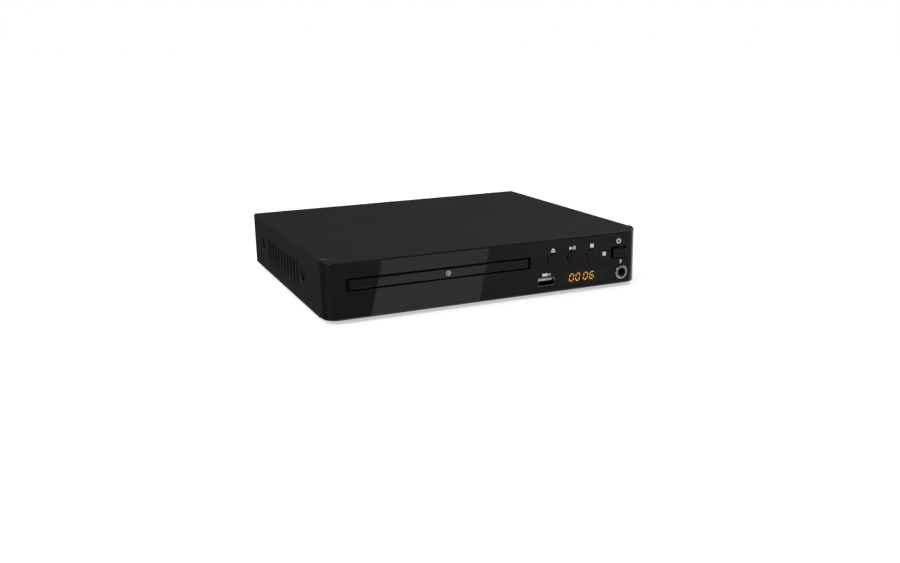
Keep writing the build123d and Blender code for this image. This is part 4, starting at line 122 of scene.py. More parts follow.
class StageSettings(PropertyGroup):
    """Floor, light and camera."""

    floor: colour("Floor colour", (0.86, 0.86, 0.86), "Colour of the floor")
    sky: share("Even light", 0.62, "Strength of the even light from all round")
    key_power: number("Key light", 9.0, "Power of the large light over the left front", 500.0, subtype="POWER")
    fill_power: number("Fill light", 3.0, "Power of the light over the right rear", 500.0, subtype="POWER")
    side_power: number("Side light", 5.0, "Power of the low light on the left", 100.0, subtype="POWER")
    azimuth: angle("Camera azimuth", -23.4486, "Camera heading round the player")
    elevation: angle("Camera elevation", 14.3307, "Camera height angle")
    roll: angle("Camera roll", -1.0298, "Lean of the camera about its own axis")
    distance: length("Camera distance", 0.721026, "From the aimed point to the camera", 0.1, 10.0)
    lens: number("Focal length", 38.0062, "Focal length in millimetres", 300.0, 10.0, unit="CAMERA")
    use_cards: BoolProperty(name="Reflection cards", description="Shape the reflections with cards round the player",
                            default=True)
    strip_card: share("Pale strip", 0.625, "Brightness of the strip that the front mirrors")
    right_card: share("Right card", 0.155, "Brightness of the card right of the strip, next to it")
    right_end: share("Right end", 0.27, "Brightness of the same card farther right")
    rear_card: share("Rear cards", 0.15, "Brightness of the cards behind and above")
    side_card: share("Side cards", 0.06, "Brightness of the cards on the left")
    dark_card: share("Dark cards", 0.065, "Brightness of the cards in front and left of the strip")
    samples_for_edges: IntProperty(name="Edge samples", description="Samples of the rounded-edge effect", default=4,
                                   min=2, max=16)


# Node helpers


def put(tree, socket, value):
    """Links a source to an input, or sets the input to a value."""
    if isinstance(value, bpy.types.NodeSocket):
        tree.links.new(value, socket)
    elif socket.type == "RGBA":
        socket.default_value = (*value[:3], 1.0)
    else:
        socket.default_value = value


def add(tree, kind, links=None, **settings):
    """A node with its settings, and its inputs, named or numbered, set to values or linked to sources."""
    made = tree.nodes.new(kind)
    for name, value in settings.items():
        setattr(made, name, value)
    for name, value in (links or {}).items():
        put(tree, made.inputs[name], value)
    return made


def feed(tree, node, **values):
    """Sets a node's named inputs, or links sources to them. An underscore in a name stands for a space."""
    for name, value in values.items():
        put(tree, node.inputs[name.replace("_", " ")], value)
    return node


def maths(tree, operation, *values):
    """The output of one maths step."""
    return add(tree, "ShaderNodeMath", dict(enumerate(values)), operation=operation).outputs[0]


def span(tree, value, low, high, to_low=0.0, to_high=1.0):
    """A value mapped from one range to another, and held to it."""
    ends = {"Value": value, "From Min": low, "From Max": high, "To Min": to_low, "To Max": to_high}
    return add(tree, "ShaderNodeMapRange", ends).outputs["Result"]


def blend_colours(tree, mask, first, second):
    """A colour that goes from the first to the second with a mask. Each is a source or three numbers."""
    made = add(tree, "ShaderNodeMix", {"Factor": mask}, data_type="RGBA")
    for socket, value in zip([s for s in made.inputs if s.type == "RGBA"], (first, second)):
        put(tree, socket, value)
    return [s for s in made.outputs if s.type == "RGBA"][0]


def scaled(rgb, factor):
    """A colour made lighter or darker."""
    return tuple(min(1.0, c * factor) for c in rgb[:3])


def shades(tree, mask, tint, low, high):
    """A tint that goes between two shades of itself with a mask."""
    return blend_colours(tree, mask, scaled(tint, low), scaled(tint, high))


def noise(tree, place, scale, detail, roughness=0.5, distortion=0.0):
    """The value of a noise texture."""
    return add(tree, "ShaderNodeTexNoise", {"Vector": place, "Scale": scale, "Detail": detail,
                                            "Roughness": roughness, "Distortion": distortion}).outputs["Fac"]


def object_place(tree):
    """Each point's place on its own piece."""
    return add(tree, "ShaderNodeTexCoord").outputs["Object"]


def surface_normal(tree):
    """The way that each point's face looks."""
    return add(tree, "ShaderNodeNewGeometry").outputs["Normal"]


def along_axis(tree, vector, axis):
    """One of a vector's three numbers."""
    return add(tree, "ShaderNodeSeparateXYZ", {"Vector": vector}).outputs[axis]


# Effects that several finishes share


def effect(name, inputs, *outputs):
    """A new node group with named number inputs and named outputs: the group, its inputs and its end node."""
    group = bpy.data.node_groups.new(name, "ShaderNodeTree")
    for label, default in inputs.items():
        group.interface.new_socket(label, in_out="INPUT", socket_type="NodeSocketFloat").default_value = default
    for label in outputs:
        kind = "NodeSocketVector" if label == "Normal" else "NodeSocketFloat"
        group.interface.new_socket(label, in_out="OUTPUT", socket_type=kind)
    return group, group.nodes.new("NodeGroupInput").outputs, group.nodes.new("NodeGroupOutput")


def build_moulded_grain(name):
    """Fine spark-eroded texture of moulded plastic or paint: a height and a slow mottle."""
    group, start, end = effect(name, {"Size": 0.0005, "Mottle Size": 0.02}, "Height", "Mottle")
    place = object_place(group)
    fine = noise(group, place, maths(group, "DIVIDE", 1.0, start["Size"]), 3.0, 0.6)
    slow = noise(group, place, maths(group, "DIVIDE", 1.0, start["Mottle Size"]), 4.0, 0.55)
    feed(group, end, Height=fine, Mottle=span(group, slow, 0.3, 0.7))
    return group


def build_worn_edges(name):
    """A mask of the edges that get rubbed, broken up by noise, and the rounded normal there."""
    group, start, end = effect(name, {"Radius": 0.0003, "Amount": 0.5}, "Mask", "Normal")
    rounded = add(group, "ShaderNodeBevel", {"Radius": start["Radius"]},
                  samples=bpy.context.scene.player_stage.samples_for_edges).outputs["Normal"]
    turn = add(group, "ShaderNodeVectorMath", {0: rounded, 1: surface_normal(group)}, operation="DOT_PRODUCT")
    bent = span(group, turn.outputs["Value"], 0.995, 0.88)
    broken = span(group, noise(group, object_place(group), 260.0, 5.0, 0.7), 0.42, 0.62)
    mask = maths(group, "MULTIPLY", maths(group, "MULTIPLY", bent, broken), start["Amount"])
    feed(group, end, Mask=mask, Normal=rounded)
    return group


def build_brushed_lines(name):
    """Fine parallel lines of rolled or brushed metal along one axis and a slow cloud, as two values."""
    group, start, end = effect(name, {"Along X": 1.0, "Along Y": 0.03, "Along Z": 1.0, "Size": 0.0004}, "Lines",
                               "Cloud")
    place = object_place(group)
    stretch = add(group, "ShaderNodeCombineXYZ", {axis: start["Along " + axis] for axis in "XYZ"})
    drawn = add(group, "ShaderNodeVectorMath", {0: place, 1: stretch.outputs[0]}, operation="MULTIPLY")
    lines = noise(group, drawn.outputs[0], maths(group, "DIVIDE", 1.0, start["Size"]), 4.0, 0.65)
    cloud = noise(group, place, 45.0, 3.0)
    feed(group, end, Lines=span(group, lines, 0.25, 0.75), Cloud=span(group, cloud, 0.3, 0.7))
    return group


def build_handling_marks(name):
    """Soft smears and a few hair-fine scratches, as two masks."""
    group, start, end = effect(name, {"Smears": 0.5, "Scratches": 0.5}, "Smear", "Scratch")
    place = object_place(group)
    smear = span(group, noise(group, place, 18.0, 2.0, distortion=0.6), 0.48, 0.68)
    scratch = 0.0
    for turn, scale in ((0.35, 810.0), (1.2, 630.0), (2.3, 990.0)):
        spun = add(group, "ShaderNodeMapping", {"Vector": place, "Rotation": (turn, turn * 0.6, turn * 1.7),
                                                "Scale": (1.0, 0.06, 1.0)})
        hairs = span(group, noise(group, spun.outputs[0], scale, 1.0), 0.735, 0.76)
        scratch = maths(group, "MAXIMUM", scratch, hairs)
    feed(group, end, Smear=maths(group, "MULTIPLY", smear, start["Smears"]),
         Scratch=maths(group, "MULTIPLY", scratch, start["Scratches"]))
    return group


def build_settled_dust(name):
    """Fine specks and a thin veil of dust on faces that look up."""
    group, start, end = effect(name, {"Amount": 0.3}, "Mask")
    facing = span(group, along_axis(group, surface_normal(group), "Z"), 0.5, 0.95)
    place = object_place(group)
    specks = add(group, "ShaderNodeTexVoronoi", {"Vector": place, "Scale": 420.0}).outputs["Distance"]
    speck = maths(group, "MULTIPLY", span(group, specks, 0.16, 0.05), 0.8)
    cloud = maths(group, "MULTIPLY", span(group, noise(group, place, 14.0, 6.0, 0.7), 0.35, 0.75), 0.45)
    lying = maths(group, "MULTIPLY", maths(group, "ADD", speck, cloud), facing)
    feed(group, end, Mask=maths(group, "MINIMUM", maths(group, "MULTIPLY", lying, start["Amount"]), 1.0))
    return group


def build_copper_tracks(name):
    """The tracks and pads of a circuit board seen through its lacquer, as two masks."""
    group, start, end = effect(name, {"Pitch": 0.004}, "Track", "Pad")
    place = object_place(group)
    scale = maths(group, "DIVIDE", 1.0, start["Pitch"])
    nearest, second = (add(group, "ShaderNodeTexVoronoi", {"Vector": place, "Scale": scale, "Randomness": 0.85},
                           feature=feature, distance="CHEBYCHEV").outputs["Distance"] for feature in ("F1", "F2"))
    lattice = add(group, "ShaderNodeTexVoronoi", {"Vector": place, "Scale": maths(group, "MULTIPLY", scale, 0.9),
                                                  "Randomness": 0.55}).outputs["Distance"]
    feed(group, end, Track=span(group, maths(group, "SUBTRACT", second, nearest), 0.20, 0.16),
         Pad=span(group, lattice, 0.17, 0.14))
    return group


def build_side_faces(name):
    """A mask of the faces that look left or right, from how far they turn that way, where the glossy finishes paint
    shade.
    """
    group, start, end = effect(name, {"Low": 0.7, "High": 0.95}, "Mask")
    sideways = maths(group, "ABSOLUTE", along_axis(group, surface_normal(group), "X"))
    feed(group, end, Mask=span(group, sideways, start["Low"], start["High"]))
    return group


EFFECTS = {
    "Moulded grain": build_moulded_grain,
    "Worn edges": build_worn_edges,
    "Brushed lines": build_brushed_lines,
    "Handling marks": build_handling_marks,
    "Settled dust": build_settled_dust,
    "Copper tracks": build_copper_tracks,
    "Side faces": build_side_faces,
}


def place_effect(tree, name, **values):
    """A shared effect placed in a material with its own values: its outputs. It's built when first asked for."""
    group = bpy.data.node_groups.get(name) or EFFECTS[name](name)
    return feed(tree, add(tree, "ShaderNodeGroup", node_tree=group), **values).outputs


# Materials


def material(name):
    """A new material with a Principled shader wired to its output."""
    made = bpy.data.materials.new(name)
    made.use_nodes = True
    tree = made.node_tree
    tree.nodes.clear()
    end = add(tree, "ShaderNodeOutputMaterial")
    shader = add(tree, "ShaderNodeBsdfPrincipled")
    tree.links.new(shader.outputs["BSDF"], end.inputs["Surface"])
    return made, tree, shader


def bump(tree, shader, height, distance, strength=1.0, normal=None):
    """A bump from a height, over the rounded normal where there is one."""
    made = add(tree, "ShaderNodeBump", {"Height": height, "Distance": distance, "Strength": strength})
    if normal is not None:
        tree.links.new(normal, made.inputs["Normal"])
    tree.links.new(made.outputs["Normal"], shader.inputs["Normal"])


def gloss_plastic(name, tint, roughness, gloss, ends, smears=0.5, scratches=0.35, radius=None):
    """Polished moulded plastic with faint smears and hair scratches, and painted shade that darkens its faces that
    look left or right. A radius rounds its edges.
    """
    made, tree, shader = material(name)
    marks = place_effect(tree, "Handling marks", Smears=smears, Scratches=scratches)
    grain = place_effect(tree, "Moulded grain", Size=0.006, Mottle_Size=0.05)
    tone = shades(tree, grain["Mottle"], tint, 0.92, 1.08)
    # Painted shade: the faces that look left or right keep only the share ends of the tint
    tone = blend_colours(tree, place_effect(tree, "Side faces")["Mask"], tone, scaled(tint, ends))
    rounded = None
    if radius is not None:
        edges = place_effect(tree, "Worn edges", Radius=radius, Amount=0.1)
        tone = blend_colours(tree, edges["Mask"], tone, scaled(tint, 2.2))
        rounded = edges["Normal"]
    rough = maths(tree, "MULTIPLY_ADD", marks["Smear"], 0.10, roughness)
    rough = maths(tree, "MULTIPLY_ADD", marks["Scratch"], 0.25, rough)
    feed(tree, shader, Base_Color=tone, Roughness=rough, Specular_IOR_Level=gloss, IOR=1.5)
    bump(tree, shader, grain["Height"], 0.00002, 0.25, rounded)
    return made


def satin_plastic(name, tint, roughness, grain_size=0.0004, depth=0.00003, level=0.35, spread=0.14, wear=0.4):
    """Moulded plastic with a fine texture, a slow change of tone and lighter rubbed edges."""
    made, tree, shader = material(name)
    grain = place_effect(tree, "Moulded grain", Size=grain_size, Mottle_Size=0.012)
    edges = place_effect(tree, "Worn edges", Radius=0.00025, Amount=wear)
    tone = shades(tree, grain["Mottle"], tint, 1 - spread, 1 + spread)
    rubbed = tuple(max(c, c + 0.18 * (0.6 - c)) for c in tint[:3])
    tone = blend_colours(tree, edges["Mask"], tone, rubbed)
    rough = span(tree, grain["Mottle"], 0.0, 1.0, roughness - 0.05, roughness + 0.06)
    feed(tree, shader, Base_Color=tone, Roughness=rough, Specular_IOR_Level=level)
    bump(tree, shader, grain["Height"], depth, 1.0, edges["Normal"])
    return made


def sheet_metal(name, tint, roughness, along=(1.0, 0.03, 1.0), size=0.0004, depth=0.000012, spread=0.10):
    """Rolled, brushed or plated metal with fine lines and a slow cloud of tone."""
    made, tree, shader = material(name)
    lines = place_effect(tree, "Brushed lines", Along_X=along[0], Along_Y=along[1], Along_Z=along[2], Size=size)
    edges = place_effect(tree, "Worn edges", Radius=0.0003, Amount=0.7)
    tone = shades(tree, lines["Lines"], tint, 1 - spread, 1 + spread)
    tone = blend_colours(tree, lines["Cloud"], tone, scaled(tint, 0.93))
    tone = blend_colours(tree, edges["Mask"], tone, scaled(tint, 1.25))
    rough = span(tree, lines["Lines"], 0.0, 1.0, roughness - 0.06, roughness + 0.09)
    feed(tree, shader, Base_Color=tone, Roughness=rough, Metallic=1.0)
    bump(tree, shader, lines["Lines"], depth, 1.0, edges["Normal"])
    return made


def shell_with_painted_shade(name, mouth):
    """The nickel shell of a socket, with painted shade: dark in its depth, where it is also rougher."""
    made, tree, shader = material(name)
    lines = place_effect(tree, "Brushed lines", Along_X=0.05, Along_Y=1.0, Along_Z=1.0, Size=0.0005)
    # Painted shade: from half a millimetre to one and a half behind the mouth the colour goes nearly black
    deep = span(tree, along_axis(tree, object_place(tree), "Y"), mouth + 0.5 * MM, mouth + 1.5 * MM)
    tone = blend_colours(tree, lines["Lines"], (0.80, 0.79, 0.76), (0.90, 0.89, 0.86))
    tone = blend_colours(tree, deep, tone, (0.045, 0.042, 0.038))
    feed(tree, shader, Base_Color=tone, Roughness=span(tree, deep, 0.0, 1.0, 0.2, 0.55), Metallic=1.0)
    bump(tree, shader, lines["Lines"], 0.000004)
    return made


def circuit_board(name, lacquer, copper):
    """Lacquered laminate with tracks, tinned pads and a fine woven surface."""
    made, tree, shader = material(name)
    tracks = place_effect(tree, "Copper tracks", Pitch=0.0042)
    grain = place_effect(tree, "Moulded grain", Size=0.0003, Mottle_Size=0.015)
    tone = shades(tree, grain["Mottle"], lacquer, 0.88, 1.1)
    tone = blend_colours(tree, tracks["Track"], tone, copper)
    tone = blend_colours(tree, tracks["Pad"], tone, (0.62, 0.61, 0.57))
    feed(tree, shader, Base_Color=tone, Metallic=span(tree, tracks["Pad"], 0.0, 1.0, 0.0, 0.9),
         Roughness=span(tree, tracks["Pad"], 0.0, 1.0, 0.42, 0.3))
    height = maths(tree, "ADD", maths(tree, "MULTIPLY", grain["Height"], 0.3), tracks["Track"])
    bump(tree, shader, height, 0.00004)
    return made


def painted_steel(name, settings):
    """The cover's fine matt paint with its texture, faint dust and rubbed edges."""
    made, tree, shader = material(name)
    tint = tuple(settings.tint)
    grain = place_effect(tree, "Moulded grain", Size=settings.grain, Mottle_Size=0.04)
    edges = place_effect(tree, "Worn edges", Radius=0.0005, Amount=0.3)
    dust = place_effect(tree, "Settled dust", Amount=settings.dust)
    marks = place_effect(tree, "Handling marks", Smears=0.12)
    tone = shades(tree, grain["Mottle"], tint, 0.93, 1.07)
    tone = blend_colours(tree, marks["Smear"], tone, scaled(tint, 1.05))
    tone = blend_colours(tree, dust["Mask"], tone, (0.09, 0.088, 0.085))
    tone = blend_colours(tree, edges["Mask"], tone, scaled(tint, 2.0))
    rough = maths(tree, "MULTIPLY_ADD", marks["Smear"], -0.06, settings.roughness)
    feed(tree, shader, Base_Color=tone, Roughness=rough, Specular_IOR_Level=0.16)
    bump(tree, shader, grain["Height"], 0.00005, 0.45, edges["Normal"])
    return made


def rubber(name, tint, roughness=0.8):
    """Matt rubber with a fine skin and a chalky bloom."""
    made, tree, shader = material(name)
    grain = place_effect(tree, "Moulded grain", Size=0.0003, Mottle_Size=0.006)
    rough = span(tree, grain["Height"], 0.3, 0.7, roughness - 0.08, roughness + 0.08)
    feed(tree, shader, Base_Color=shades(tree, grain["Mottle"], tint, 0.8, 1.35), Roughness=rough,
         Specular_IOR_Level=0.25, Sheen_Weight=0.12, Sheen_Roughness=0.5)
    bump(tree, shader, grain["Height"], 0.00004)
    return made


def lit_bars(name, settings):
    """The display's glowing bars. Their glow is left out of what other pieces reflect or catch."""
    made, tree, shader = material(name)
    grain = place_effect(tree, "Moulded grain", Size=0.0012, Mottle_Size=0.006)
    tone = shades(tree, grain["Mottle"], tuple(settings.glow), 0.8, 1.0)
    ray = add(tree, "ShaderNodeLightPath").outputs
    bounces = maths(tree, "ADD", ray["Diffuse Depth"], ray["Glossy Depth"])
    glow = blend_colours(tree, maths(tree, "LESS_THAN", bounces, 0.5), (0.0, 0.0, 0.0), tone)
    feed(tree, shader, Base_Color=tone, Roughness=0.5, Emission_Color=glow, Emission_Strength=settings.strength)
    bump(tree, shader, grain["Height"], 0.00002)
    return made


def smoked_pane(name, settings, gloss):
    """The clear smoked window, polished like the front round it."""
    made, tree, shader = material(name)
    marks = place_effect(tree, "Handling marks", Smears=0.5, Scratches=0.3)
    grain = place_effect(tree, "Moulded grain", Size=0.006, Mottle_Size=0.05)
    feed(tree, shader, Base_Color=shades(tree, marks["Smear"], tuple(settings.smoke), 1.0, 0.94),
         Roughness=maths(tree, "MULTIPLY_ADD", marks["Scratch"], 0.12, 0.015), Transmission_Weight=0.82,
         IOR=1.49, Specular_IOR_Level=gloss)
    bump(tree, shader, grain["Height"], 0.00001, 0.15)
    return made


def coated_glass(name):
    """The objective lens: clear, with the blue cast of its coating changing over it."""
    made, tree, shader = material(name)
    mottle = place_effect(tree, "Moulded grain", Size=0.001, Mottle_Size=0.002)["Mottle"]
    feed(tree, shader, Base_Color=blend_colours(tree, mottle, (0.55, 0.72, 0.98), (0.78, 0.86, 1.0)),
         Roughness=span(tree, mottle, 0.0, 1.0, 0.02, 0.05), Transmission_Weight=0.85, IOR=1.6)
    return made


def ribbon_strip(name, pitch):
    """A white flat ribbon with the ridge of each wire in it."""
    made, tree, shader = material(name)
    wires = add(tree, "ShaderNodeTexWave", {"Vector": object_place(tree), "Scale": 0.05 / pitch},
                wave_type="BANDS", bands_direction="X", wave_profile="SIN").outputs["Fac"]
    mottle = place_effect(tree, "Moulded grain", Size=0.0005, Mottle_Size=0.01)["Mottle"]
    tone = blend_colours(tree, wires, (0.52, 0.52, 0.54), (0.80, 0.80, 0.79))
    tone = blend_colours(tree, mottle, tone, (0.70, 0.70, 0.68))
    feed(tree, shader, Base_Color=tone, Roughness=span(tree, mottle, 0.0, 1.0, 0.38, 0.52))
    bump(tree, shader, wires, 0.0001)
    return made


def finish(made, *nodes):
    """Gives a material to CAD nodes by their own material slots."""
    for name in nodes:
        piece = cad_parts[name]
        if not piece.material_slots:
            piece.data.materials.append(made)
        for place in piece.material_slots:
            place.material = made


# Mesh helpers for the printed symbols and the contacts


def arc(x, z, radius, start, stop, steps):
    """Points along an arc, in the plane of the front, angles in degrees from +X."""
    turns = [radians(start + (stop - start) * n / steps) for n in range(steps + 1)]
    return [(x + radius * cos(a), z + radius * sin(a)) for a in turns]


def band(x, z, inner, outer, steps, start=0.0, stop=360.0):
    """The faces of a ring or part of a ring, one for each step."""
    low, high = arc(x, z, inner, start, stop, steps), arc(x, z, outer, start, stop, steps)
    return [[low[n], high[n], high[n + 1], low[n + 1]] for n in range(steps)]


def box_face(x, z, width, height, corner=0.0):
    """A filled rectangle about a point, with round corners if asked for."""
    w, h = width / 2 - corner, height / 2 - corner
    if not corner:
        return [[(x - w, z - h), (x + w, z - h), (x + w, z + h), (x - w, z + h)]]
    corners = ((w, h, 0), (-w, h, 90), (-w, -h, 180), (w, -h, 270))
    return [[p for dx, dz, turn in corners for p in arc(x + dx, z + dz, corner, turn, turn + 90, 5)]]


def new_piece(name, mesh, made):
    """A mesh of one material as an object of the scene."""
    piece = bpy.data.objects.new(name, mesh)
    bpy.context.scene.collection.objects.link(piece)
    mesh.materials.append(made)
    return piece


def drawn_out(name, faces, travel, made):
    """Flat faces, given by their corners, drawn out along a vector into closed bodies."""
    build = bmesh.new()
    for face in faces:
        build.faces.new([build.verts.new(corner) for corner in face])
    bmesh.ops.remove_doubles(build, verts=build.verts[:], dist=1e-7)
    grown = bmesh.ops.extrude_face_region(build, geom=build.faces[:])
    risen = [v for v in grown["geom"] if isinstance(v, bmesh.types.BMVert)]
    bmesh.ops.translate(build, verts=risen, vec=travel)
    bmesh.ops.recalc_face_normals(build, faces=build.faces[:])
    mesh = bpy.data.meshes.new(name)
    build.to_mesh(mesh)
    build.free()
    return new_piece(name, mesh, made)


def printed(name, faces, front, thickness, made, body="case"):
    """Faces in the plane of the front made into one thin layer of ink, sunk a little into the face."""
    sunk = thickness * 0.3
    faces = [[(x, front + sunk, z) for x, z in face] for face in faces]
    piece = drawn_out(name, faces, (0.0, -thickness - sunk, 0.0), made)
    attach(piece, body)


def swept_strip(name, profile, x0, x1, made, body="case"):
    """A bent strip: a closed (y, z) profile carried from x0 to x1, its edges slightly rounded."""
    piece = drawn_out(name, [[(x0, y, z) for y, z in profile]], (x1 - x0, 0.0, 0.0), made)
    rounding = piece.modifiers.new("edges", "BEVEL")
    rounding.width = 0.04 * MM
    rounding.segments = 2
    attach(piece, body)


# Operators, one for each piece or group of like pieces


class PLAYER_OT_front(Operator):
    """Finish the glossy front and the tray's door"""

    bl_idname = "player.front"
    bl_label = "Front and door"

    def execute(self, context):
        settings = context.scene.player_front
        # The last number of each is painted shade: the share of the tint kept by faces that look left or right
        for name, piece, ends in (("Front plastic", "front_bezel", 0.4), ("Door plastic", "tray_door", 0.05)):
            finish(gloss_plastic(name, tuple(settings.tint), settings.roughness, settings.gloss, ends), piece)
        return {"FINISHED"}


class PLAYER_OT_buttons(Operator):
    """Finish the round buttons, the power button and the standby light"""

    bl_idname = "player.buttons"
    bl_label = "Buttons and light"

    def execute(self, context):
        settings = context.scene.player_front
        # ends is painted shade: the button sides that look left or right keep a twentieth of the tint
        made = gloss_plastic("Button plastic", tuple(settings.button_tint), settings.roughness + 0.06,
                             settings.gloss, smears=0.8, scratches=0.5, radius=0.0001, ends=0.05)
        finish(made, "eject_button", "play_button", "stop_button", "power_button")
        light = satin_plastic("Milky light guide", (0.70, 0.70, 0.71), roughness=0.28, grain_size=0.0008,
                              depth=0.00001, level=0.5, spread=0.04, wear=0.0)
        finish(light, "standby_light")
        return {"FINISHED"}


class PLAYER_OT_symbols(Operator):
    """Print the plain symbols for eject, play and pause, stop, power, memory stick, microphone and disc"""

    bl_idname = "player.symbols"
    bl_label = "Printed symbols"

    def execute(self, context):
        settings = context.scene.player_symbols
        ink = satin_plastic("White ink", tuple(settings.ink), roughness=0.5, grain_size=0.00012, depth=0.00001,
                            level=0.2, spread=0.05, wear=0.0)
        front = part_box("front_bezel")[0].y
        thick, tall = settings.thickness, settings.height
        for name, faces in (("eject", eject_faces), ("play", play_faces), ("stop", stop_faces)):
            low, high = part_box(name + "_button")
            radius = (high.x - low.x) / 2 - BUTTON_FLANGE
            x, z = (low.x + high.x) / 2, (low.z + high.z) / 2 + radius + settings.gap + tall / 2
            printed(name + "_symbol", faces(x, z, tall), front, thick, ink)
        for name, piece, right, over, share_of_height, faces in OVER_PIECES:
            low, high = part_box(piece)
            x, z = (low.x + high.x) / 2 + right, high.z + over
            printed(name + "_symbol", faces(x, z, tall * share_of_height), front, thick, ink)
        low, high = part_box("tray_door")
        x, z = (low.x + high.x) / 2 + DISC_SYMBOL_RIGHT, (low.z + high.z) / 2
        printed("disc_symbol", disc_faces(x, z, DISC_SYMBOL_WIDTH), low.y, thick, ink, "tray")
        return {"FINISHED"}


def eject_faces(x, z, tall):
    """A triangle over a bar."""
    w, bar = tall * 0.56, tall * 0.24
    low = z - tall / 2
    triangle = [(x - w, low + bar * 1.55), (x + w, low + bar * 1.55), (x, low + tall)]
    return [triangle] + box_face(x, low + bar / 2, 2 * w, bar)


def play_faces(x, z, tall):
    """A triangle that points right and two upright bars."""
    low, high = z - tall * 0.42, z + tall * 0.42
    left = x - tall * 0.82
    faces = [[(left, low), (left + tall * 0.80, z), (left, high)]]
    for place in (0.98, 1.42):
        faces += box_face(left + tall * place, z, tall * 0.22, high - low)
    return faces


def stop_faces(x, z, tall):
    """A filled square."""
    return box_face(x, z, tall * 0.88, tall * 0.88, tall * 0.06)


def power_faces(x, z, tall):
    """A ring open at the top with an upright bar in the gap."""
    outer = tall / 2
    ring = band(x, z, outer * 0.62, outer, 40, 122.0, 418.0)
    return ring + box_face(x, z + outer * 0.56, outer * 0.34, outer * 1.05, outer * 0.08)


def memory_faces(x, z, tall):
    """A memory stick on its side: a body, a narrower plug and its two holes left bare."""
    body = box_face(x - tall * 0.75, z, tall * 2.3, tall, tall * 0.18)
    plug_x, wide, high = x + tall * 1.0, tall * 1.0, tall * 0.66
    rim = tall * 0.16
    plug = box_face(plug_x, z + (high - rim) / 2, wide, rim)
    plug += box_face(plug_x, z - (high - rim) / 2, wide, rim)
    plug += box_face(plug_x + (wide - rim) / 2, z, rim, high - 2 * rim)
    return body + plug + box_face(plug_x - wide * 0.08, z, rim * 1.2, rim * 1.2)


def microphone_faces(x, z, tall):
    """A capsule, the bow that holds it, its stem and foot."""
    head = tall * 0.17
    top, middle = z + tall * 0.5 - head, z + tall * 0.08
    capsule = arc(x, top, head, 0.0, 180.0, 12) + arc(x, middle, head, 180.0, 360.0, 12)
    bow = band(x, middle, head * 1.55, head * 2.05, 20, 180.0)
    foot_z = z - tall * 0.46
    stem = box_face(x, (middle - head * 2.0 + foot_z) / 2, head * 0.5, abs(middle - head * 2.0 - foot_z))
    return [capsule] + bow + stem + box_face(x, foot_z, head * 2.4, head * 0.55)


def disc_faces(x, z, wide):
    """A disc seen from above: an outer ring and a hub ring."""
    return band(x, z, wide * 0.40, wide * 0.5, 48) + band(x, z, wide * 0.09, wide * 0.19, 28)


# How far a round button's flange, inside the front, reaches past its cap
BUTTON_FLANGE = 0.9 * MM
# The disc symbol's width, and how far right of the door's middle it stands
DISC_SYMBOL_WIDTH, DISC_SYMBOL_RIGHT = 3.4 * MM, 4.4 * MM
# Symbols over a piece: how far right of its middle, how far over its top, the share of the symbols' height, the faces
OVER_PIECES = (
    ("power", "power_button", -0.4 * MM, 4.9 * MM, 1.2, power_faces),
    ("memory", "usb_port", 0.0, 2.3 * MM, 0.62, memory_faces),
    ("microphone", "mic_nut", -0.2 * MM, 2.8 * MM, 0.95, microphone_faces),
)


class PLAYER_OT_display(Operator):
    """Finish the smoked window, the digits and the display's housing"""

    bl_idname = "player.display"
    bl_label = "Display"

    def execute(self, context):
        settings = context.scene.player_display
        finish(smoked_pane("Smoked window", settings, context.scene.player_front.gloss), "display_window")
        finish(lit_bars("Lit bars", settings), "display_segments")
        finish(satin_plastic("Display housing", (0.006, 0.0055, 0.006), roughness=0.6, grain_size=0.0003, wear=0.1),
               "display_module")
        return {"FINISHED"}


class PLAYER_OT_front_sockets(Operator):
    """Finish the memory and microphone sockets, and build the memory socket's contacts"""

    bl_idname = "player.front_sockets"
    bl_label = "Front sockets"

    def execute(self, context):
        nickel = sheet_metal("Bright nickel", (0.86, 0.85, 0.82), roughness=0.17, along=(0.05, 1.0, 1.0),
                             size=0.0005, depth=0.000004, spread=0.05)
        finish(nickel, "mic_nut")
        finish(shell_with_painted_shade("Socket shell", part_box("usb_port")[0].y), "usb_port")
        finish(satin_plastic("Socket black", (0.014, 0.014, 0.015), roughness=0.42), "mic_jack")
        tongue = satin_plastic("Socket tongue", (0.74, 0.74, 0.73), roughness=0.4, grain_size=0.0003, wear=0.0)
        finish(tongue, "usb_tongue")
        gold = sheet_metal("Gold flash", (0.86, 0.62, 0.26), roughness=0.25, size=0.0002, depth=0.000002)
        low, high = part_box("usb_tongue")
        top, under = low.z + 0.03 * MM, low.z - 0.12 * MM
        nose, heel = low.y + 0.5 * MM, high.y - 0.8 * MM
        profile = [(nose, top), (nose + 0.5 * MM, under), (heel, under), (heel, top)]
        for place, offset in enumerate((-3.5, -1.0, 1.0, 3.5), 1):
            x = (low.x + high.x) / 2 + offset * MM
            swept_strip(f"usb_contact_{place}", profile, x - 0.5 * MM, x + 0.5 * MM, gold)
        return {"FINISHED"}


class PLAYER_OT_cover(Operator):
    """Finish the painted cover and its screws"""

    bl_idname = "player.cover"
    bl_label = "Cover"

    def execute(self, context):
        finish(painted_steel("Cover paint", context.scene.player_cover), "top_cover")
        made = sheet_metal("Black screw", (0.022, 0.022, 0.023), roughness=0.42, along=(1.0, 1.0, 1.0), size=0.0003,
                           depth=0.00001, spread=0.2)
        finish(made, "cover_screws")
        return {"FINISHED"}


class PLAYER_OT_chassis(Operator):
    """Finish the folded chassis, the feet and the screws inside"""

    bl_idname = "player.chassis"
    bl_label = "Chassis and feet"

    def execute(self, context):
        plate = sheet_metal("Zinc plate", (0.50, 0.51, 0.52), roughness=0.36, along=(0.02, 1.0, 1.0), size=0.0006)
        finish(plate, "chassis_base", "clamp_bridge", "traverse_plate")
        finish(rubber("Foot rubber", (0.016, 0.016, 0.016)), "rubber_feet")
        made = sheet_metal("Zinc screw", (0.62, 0.61, 0.56), roughness=0.28, along=(1.0, 1.0, 1.0), size=0.0004)
        finish(made, "inner_screws")
        return {"FINISHED"}


